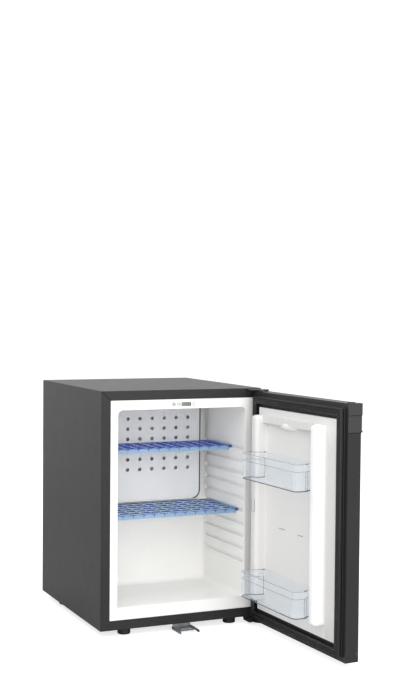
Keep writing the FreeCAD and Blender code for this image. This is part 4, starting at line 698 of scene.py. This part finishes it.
# Display digits: seven bars each, all lit
digits = {
    "left": -3.6, "pitch": 5.5, "width": 3.6, "height": 6.2, "bar": 0.5, "count": 4,
    "front": 0.86, "back": 1.05,
}
bm = bmesh.new()
half, bar, front, back = digits["height"] / 2, digits["bar"], digits["front"], digits["back"]
for index in range(digits["count"]):
    left = digits["left"] + index * digits["pitch"]
    right = left + digits["width"]
    for rise in (-half, 0.0, half):
        z = controls["level"] + rise
        addBlock(bm, (left + bar, front, z - bar / 2), (right - bar, back, z + bar / 2))
    for x in (left, right - bar):
        for rise in (-half + bar / 2, bar / 2):
            z = controls["level"] + rise
            addBlock(bm, (x, front, z), (x + bar, back, z + half - bar))
finishPiece(bm, {"name": "displayDigits", "look": "litSegment", "body": "cabinet", "slot": "display"})

# Printed rings round the keys and the lamp
rings = {
    "radii": {"leftKey": 3.9, "rightKey": 3.9, "lamp": 3.4}, "wide": 0.8, "thick": 0.12, "back": 1.02, "steps": 32,
}
bm = bmesh.new()
for place, radius in rings["radii"].items():
    wide, thick = rings["wide"], rings["thick"]
    section = [(0.0, radius), (-thick, radius), (-thick, radius + wide), (0.0, radius + wide)]
    addTurned(bm, (controls[place], rings["back"], controls["level"]), (0, 1, 0), section, rings["steps"])
finishPiece(bm, {"name": "keyRings", "look": "greyInk", "body": "cabinet", "slot": "grey_key"})

# Key caps: a dot on one and a three stroke star on the other
keyMarks = {
    "starAt": (controls["leftKey"], 0.55, controls["level"]), "stroke": (4.6, 0.2, 0.9), "turns": (0, 60, 120),
    "dotAt": (controls["rightKey"], 0.62, controls["level"]), "dotSteps": 20,
    "dot": [(0.0, 0.0), (0.0, 1.0), (0.14, 1.0), (0.16, 0.0)],
}
bm = bmesh.new()
for turn in keyMarks["turns"]:
    shape = Matrix.Translation(keyMarks["starAt"]) @ Matrix.Rotation(math.radians(turn), 4, "Y")
    bmesh.ops.create_cube(bm, size=1.0, matrix=shape @ Matrix.Diagonal((*keyMarks["stroke"], 1.0)))
finishPiece(bm, {"name": "leftKeyStar", "look": "greyInk", "body": "left_key", "slot": "grey_key"})
bm = bmesh.new()
addTurned(bm, keyMarks["dotAt"], (0, -1, 0), keyMarks["dot"], keyMarks["dotSteps"])
finishPiece(bm, {"name": "rightKeyDot", "look": "greyInk", "body": "right_key", "slot": "grey_key"})
print("stage: frame, baffle and controls")

# Door liner: a scooped grip under the cross bar
grip = {
    "name": "linerGrip", "look": "formedStyrene", "body": "door", "slot": "white_moulding", "place": doorFrame,
    "at": (-166.0, 21.0, 478.0), "half": (42.0, 12.2, 12.5), "round": 40, "upright": 20,
}
bm = bmesh.new()
shape = Matrix.Translation(grip["at"]) @ Matrix.Diagonal((*grip["half"], 1.0))
bmesh.ops.create_uvsphere(bm, u_segments=grip["round"], v_segments=grip["upright"], radius=1.0, matrix=shape)
finishPiece(bm, grip)

# Small blocks on the door, each between two corners
doorDetails = {
    # a mould mark on the hinge rib and two on the panel
    "ribMark": {
        "look": "markStyrene", "slot": "white_moulding", "round": 0.4,
        "blocks": [
            ((-56.0, 48.2, 270.0), (-54.6, 49.1, 298.0)), ((-43.4, 48.2, 270.0), (-42.0, 49.1, 298.0)),
            ((-56.0, 48.2, 268.6), (-42.0, 49.1, 270.0)),
        ],
    },
    "panelMarks": {
        "look": "markStyrene", "slot": "white_moulding", "round": 0.4,
        "blocks": [
            ((-148.0, 20.2, 239.2), (-122.0, 21.4, 241.0)), ((-226.0, 20.2, 237.4), (-205.0, 21.4, 239.2)),
        ],
    },
    # a stop near the foot of the free edge
    "edgeStop": {
        "look": "charcoalAbs", "slot": "dark_plastic", "round": 0.6,
        "blocks": [((-392.4, -15.0, 13.0), (-390.6, -9.0, 22.0))],
    },
    # dark joints under the corner cap's block and under its lip
    "capJoints": {
        "look": "foldShadow", "slot": "dark_plastic", "round": 0.0,
        "blocks": [
            ((-392.1, -19.2, 516.8), (-391.3, 14.9, 518.2)), ((-391.3, -18.6, 480.6), (-390.7, 14.6, 481.8)),
        ],
    },
}
for name, detail in doorDetails.items():
    bm = bmesh.new()
    for low, high in detail["blocks"]:
        addBlock(bm, low, high, detail["round"])
    finishPiece(bm, {**detail, "name": name, "body": "door", "place": doorFrame})
print("stage: door details")

# Cooling unit: jacket bands with a clamp, weld beads on the vessel, tube collars
unitY = 357.0  # depth of the plane that its tubes lie in
bands = {
    "x": 115.0, "radius": 34.0, "levels": [150.0, 231.0, 312.0], "half": 5.0, "gauge": 1.6, "edge": 0.3,
    "steps": 64,
    # the clamp on each: half its width, how deep it starts and how far it stands out, half its height
    "clamp": {"half": 5.0, "sink": 1.0, "proud": 3.0, "tall": 4.0, "round": 0.8},
}
bm = bmesh.new()
edge, half, clamp = bands["edge"], bands["half"], bands["clamp"]
inner, outer = bands["radius"] - edge, bands["radius"] + bands["gauge"]
section = [
    (-half, inner), (-half, outer - edge), (edge - half, outer),
    (half - edge, outer), (half, outer - edge), (half, inner),
]
for level in bands["levels"]:
    addTurned(bm, (bands["x"], unitY, level), (0, 0, 1), section, bands["steps"])
    low = (bands["x"] - clamp["half"], unitY + outer - clamp["sink"], level - clamp["tall"])
    high = (bands["x"] + clamp["half"], unitY + outer + clamp["proud"], level + clamp["tall"])
    addBlock(bm, low, high, clamp["round"])
finishPiece(bm, {"name": "jacketBands", "look": "zincPlate", "body": "cabinet", "slot": "galvanised"})

joints = {
    # weld beads round the vessel's ends, as (along, rise)
    "vesselRadius": 25.8, "vesselLevel": 86.0, "vesselEnds": [-166.0, 11.0], "beadSteps": 48,
    "bead": [(-3.0, 0.0), (-2.0, 0.7), (-0.7, 1.2), (0.7, 1.2), (2.0, 0.7), (3.0, 0.0)],
    # collars on the tubes, the same way, with the place and axis of each
    "tubeRadius": 9.0, "collarSteps": 40,
    "collar": [(-7.0, -0.4), (-7.0, 1.6), (-6.2, 2.2), (6.2, 2.2), (7.0, 1.6), (7.0, -0.4)],
    "collars": [
        ((60.0, unitY, 511.0), (1, 0, 0)), ((115.0, unitY, 360.0), (0, 0, 1)),
        ((115.0, unitY, 104.0), (0, 0, 1)),
    ],
}
bm = bmesh.new()
section = [(along, joints["vesselRadius"] + rise) for along, rise in joints["bead"]]
for x in joints["vesselEnds"]:
    addTurned(bm, (x, unitY, joints["vesselLevel"]), (1, 0, 0), section, joints["beadSteps"])
section = [(along, joints["tubeRadius"] + rise) for along, rise in joints["collar"]]
for at, axis in joints["collars"]:
    addTurned(bm, at, axis, section, joints["collarSteps"])
finishPiece(bm, {"name": "tubeJoints", "look": "blackLacquer", "body": "cabinet", "slot": "black_tube"})

# Rear panel: rivets round its edge
rivets = {
    "sides": [-186.0, 186.0], "levels": [150.0, 255.0, 360.0, 530.0],
    "top": 545.0, "columns": [-120.0, -40.0, 40.0, 120.0], "seat": 294.9, "steps": 24,
    "head": [(0.0, 3.2), (0.5, 3.2), (1.1, 2.6), (1.5, 1.5), (1.7, 0.0)],
}
bm = bmesh.new()
places = [(x, z) for x in rivets["sides"] for z in rivets["levels"]]
places += [(x, rivets["top"]) for x in rivets["columns"]]
for x, z in places:
    addTurned(bm, (x, rivets["seat"], z), (0, 1, 0), rivets["head"], rivets["steps"])
finishPiece(bm, {"name": "panelRivets", "look": "zincSteel", "body": "cabinet", "slot": "galvanised"})

# Controller: raised vent bars and two screw heads on its back
controller = {
    "left": 157.0, "right": 185.0, "levels": [424.0, 430.0, 436.0, 442.0, 448.0], "bar": 2.6, "round": 0.4,
    "seat": 342.8, "front": 343.9,
    "screws": [(156.0, 382.0), (192.0, 460.0)], "screwSeat": 342.9, "steps": 24,
    "head": [(0.0, 2.8), (0.8, 2.8), (1.4, 2.0), (1.6, 0.9), (1.1, 0.9), (1.1, 0.0)],
}
bm = bmesh.new()
for level in controller["levels"]:
    low = (controller["left"], controller["seat"], level)
    high = (controller["right"], controller["front"], level + controller["bar"])
    addBlock(bm, low, high, controller["round"])
finishPiece(bm, {"name": "controllerVents", "look": "texturedAbs", "body": "cabinet", "slot": "black_plastic"})
bm = bmesh.new()
for x, z in controller["screws"]:
    addTurned(bm, (x, controller["screwSeat"], z), (0, 1, 0), controller["head"], controller["steps"])
finishPiece(bm, {"name": "controllerScrews", "look": "zincSteel", "body": "cabinet", "slot": "steel"})

# Base vent: a wire grille over the opening in the rear bay's floor
grille = {
    "half": 94.0, "front": 295.4, "back": 398.6, "level": 17.0, "sink": 0.1, "wire": 2.4, "bars": 18,
    "round": 0.8,
    "ties": [326.0, 368.0], "overhang": 4.0, "tieRise": 1.4,
}
bm = bmesh.new()
half, wire, seat = grille["half"], grille["wire"], grille["level"] - grille["sink"]
for bar in range(grille["bars"]):
    x = half * ((bar + 0.5) / grille["bars"] * 2 - 1)
    low, high = (x - wire / 2, grille["front"], seat), (x + wire / 2, grille["back"], grille["level"] + wire)
    addBlock(bm, low, high, grille["round"])
for y in grille["ties"]:
    low = (-half - grille["overhang"], y, seat)
    high = (half + grille["overhang"], y + wire, grille["level"] + wire * grille["tieRise"])
    addBlock(bm, low, high, grille["round"])
finishPiece(bm, {"name": "ventGrille", "look": "blackLacquer", "body": "cabinet", "slot": "charcoal_paint"})
print("stage: rear details")

# Floor, light and camera
lights = {
    "topSoftbox": {"at": (-0.3, -0.2, 2.6), "target": (0, 0, 0.3), "size": (2.4, 2.4), "power": 34},
    "leftSoftbox": {"at": (-1.3, -0.5, 1.5), "target": (0, 0, 0.3), "size": (1.0, 1.0), "power": 5.7},
    "frontSoftbox": {"at": (-0.35, -3.0, 1.3), "target": (0, 0, 0.3), "size": (4.2, 3.2), "power": 104},
    # two fills, which don't show on the paint
    "rightSoftbox": {
        "at": (2.8, 0.3, 1.5), "target": (0, 0.1, 0.3), "size": (2.4, 2.0), "power": 16, "mirrored": False,
    },
    "backSoftbox": {
        "at": (0.4, 3.2, 1.4), "target": (0, 0.4, 0.3), "size": (2.8, 2.0), "power": 26, "mirrored": False,
    },
}
for name, light in lights.items():
    data = bpy.data.lights.new(name, "AREA")
    data.shape = "RECTANGLE"
    data.size, data.size_y = light["size"]
    data.energy = light["power"]
    lamp = bpy.data.objects.new(name, data)
    bpy.context.scene.collection.objects.link(lamp)
    lamp.location = light["at"]
    lamp.visible_glossy = light.get("mirrored", True)
    aim = Vector(light["target"]) - Vector(light["at"])
    lamp.rotation_euler = aim.to_track_quat("-Z", "Y").to_euler()

# the world lights softly, and shows white to the camera, in reflections and through clear pieces
world = bpy.data.worlds.new("studio")
bpy.context.scene.world = world
world.use_nodes = True
worldTree = world.node_tree
worldTree.nodes.clear()
path = addNode(worldTree, "ShaderNodeLightPath")
glossy = addNode(
    worldTree, "ShaderNodeMath", {"operation": "MAXIMUM"},
    {0: path.outputs["Is Glossy Ray"], 1: path.outputs["Is Transmission Ray"]},
)
seen = addNode(
    worldTree, "ShaderNodeMath", {"operation": "MAXIMUM"},
    {0: path.outputs["Is Camera Ray"], 1: glossy.outputs["Value"]},
)
ambient = addNode(worldTree, "ShaderNodeBackground", {"Color": colour("#f4f5f6"), "Strength": 0.5})
backdrop = addNode(worldTree, "ShaderNodeBackground", {"Color": colour("#ffffff"), "Strength": 1.0})
blend = addNode(
    worldTree, "ShaderNodeMixShader", {},
    {0: seen.outputs["Value"], 1: ambient.outputs["Background"], 2: backdrop.outputs["Background"]},
)
addNode(worldTree, "ShaderNodeOutputWorld", {}, {"Surface": blend.outputs["Shader"]})

# sizes of the floor in metres: where the shade under the cabinet ends, and where reflections find it white
ground = {
    "radius": 14.0, "drop": 0.0005, "middle": 0.26, "shade": (0.15, 0.18), "distant": (1.5, 6.0), "lift": 0.74,
}
bm = bmesh.new()
bmesh.ops.create_circle(bm, cap_ends=True, segments=64, radius=ground["radius"])
floorMesh = bpy.data.meshes.new("floor")
bm.to_mesh(floorMesh)
bm.free()
floor = bpy.data.objects.new("floor", floorMesh)
bpy.context.scene.collection.objects.link(floor)
floor.location = (0, 0, -ground["drop"])
# paper a little under white, that the camera sees lit up to the backdrop's white, shadow and all
floorPaper = makeMaterial("floorPaper", {
    "dark": "#cdcdcd", "light": "#d2d2d2", "rough": (0.85, 0.95), "drift": 500, "relief": 0.02,
    "sockets": {"Emission Color": colour("#ffffff")},
})
floorTree = floorPaper.node_tree
floorPath = addNode(floorTree, "ShaderNodeLightPath")
# but not deep under the cabinet, where it stays in the shade
floorPlace = addNode(floorTree, "ShaderNodeTexCoord")
footprint = addNode(
    floorTree, "ShaderNodeMapping", {"Location": (0.0, -ground["middle"], 0.0)},
    {"Vector": floorPlace.outputs["Object"]},
)
spread = addNode(floorTree, "ShaderNodeVectorMath", {"operation": "ABSOLUTE"}, {0: footprint.outputs["Vector"]})
reach = addNode(floorTree, "ShaderNodeSeparateXYZ", {}, {"Vector": spread.outputs["Vector"]})
farthest = addNode(
    floorTree, "ShaderNodeMath", {"operation": "MAXIMUM"}, {0: reach.outputs["X"], 1: reach.outputs["Y"]}
)
shown = addNode(
    floorTree, "ShaderNodeMapRange",
    {"From Min": ground["shade"][0], "From Max": ground["shade"][1], "To Min": 0.0, "To Max": ground["lift"]},
    {"Value": farthest.outputs["Value"]},
)
seenLift = addNode(
    floorTree, "ShaderNodeMath", {"operation": "MULTIPLY"},
    {0: floorPath.outputs["Is Camera Ray"], 1: shown.outputs["Result"]},
)
# paint and clear pieces show that white too, rising with the distance from the cabinet
mirrored = addNode(
    floorTree, "ShaderNodeMath", {"operation": "MAXIMUM"},
    {0: floorPath.outputs["Is Glossy Ray"], 1: floorPath.outputs["Is Transmission Ray"]},
)
distant = addNode(
    floorTree, "ShaderNodeMapRange",
    {
        "From Min": ground["distant"][0], "From Max": ground["distant"][1],
        "To Min": 0.0, "To Max": ground["lift"],
    },
    {"Value": farthest.outputs["Value"]},
)
lift = addNode(
    floorTree, "ShaderNodeMath", {"operation": "MULTIPLY_ADD"},
    {0: mirrored.outputs["Value"], 1: distant.outputs["Result"], 2: seenLift.outputs["Value"]},
)
floorShader = [node for node in floorTree.nodes if node.type == "BSDF_PRINCIPLED"][0]
floorTree.links.new(lift.outputs["Value"], floorShader.inputs["Emission Strength"])
floorMesh.materials.append(floorPaper)

# the camera fitted to the photograph: focal length in pixels, angles in radians, place in metres
view = {
    "focal": 1229.15, "tall": 700.0, "sensor": 36.0, "yaw": 0.42566, "pitch": 0.034656, "roll": 0.0085419,
    "at": (-1.13419, -2.60159, 0.75121),
}
forward = Vector((
    math.sin(view["yaw"]) * math.cos(view["pitch"]),
    math.cos(view["yaw"]) * math.cos(view["pitch"]),
    -math.sin(view["pitch"]),
))
level = Vector((math.cos(view["yaw"]), -math.sin(view["yaw"]), 0))
upward = level.cross(forward)
right = level * math.cos(view["roll"]) + upward * math.sin(view["roll"])
upright = upward * math.cos(view["roll"]) - level * math.sin(view["roll"])
cameraData = bpy.data.cameras.new("camera")
cameraData.sensor_width = view["sensor"]
cameraData.lens = view["focal"] * view["sensor"] / view["tall"]
camera = bpy.data.objects.new("camera", cameraData)
bpy.context.scene.collection.objects.link(camera)
turn = Matrix((right, upright, -forward)).transposed().to_4x4()
camera.matrix_world = Matrix.Translation(Vector(view["at"])) @ turn
bpy.context.scene.camera = camera
bpy.context.scene.view_settings.view_transform = "Standard"
# a look through both bins crosses more clear walls than the usual eight
bpy.context.scene.cycles.transparent_max_bounces = 32
print("stage: floor, light and camera")

# Bring the scene up to date
bpy.context.view_layer.update()
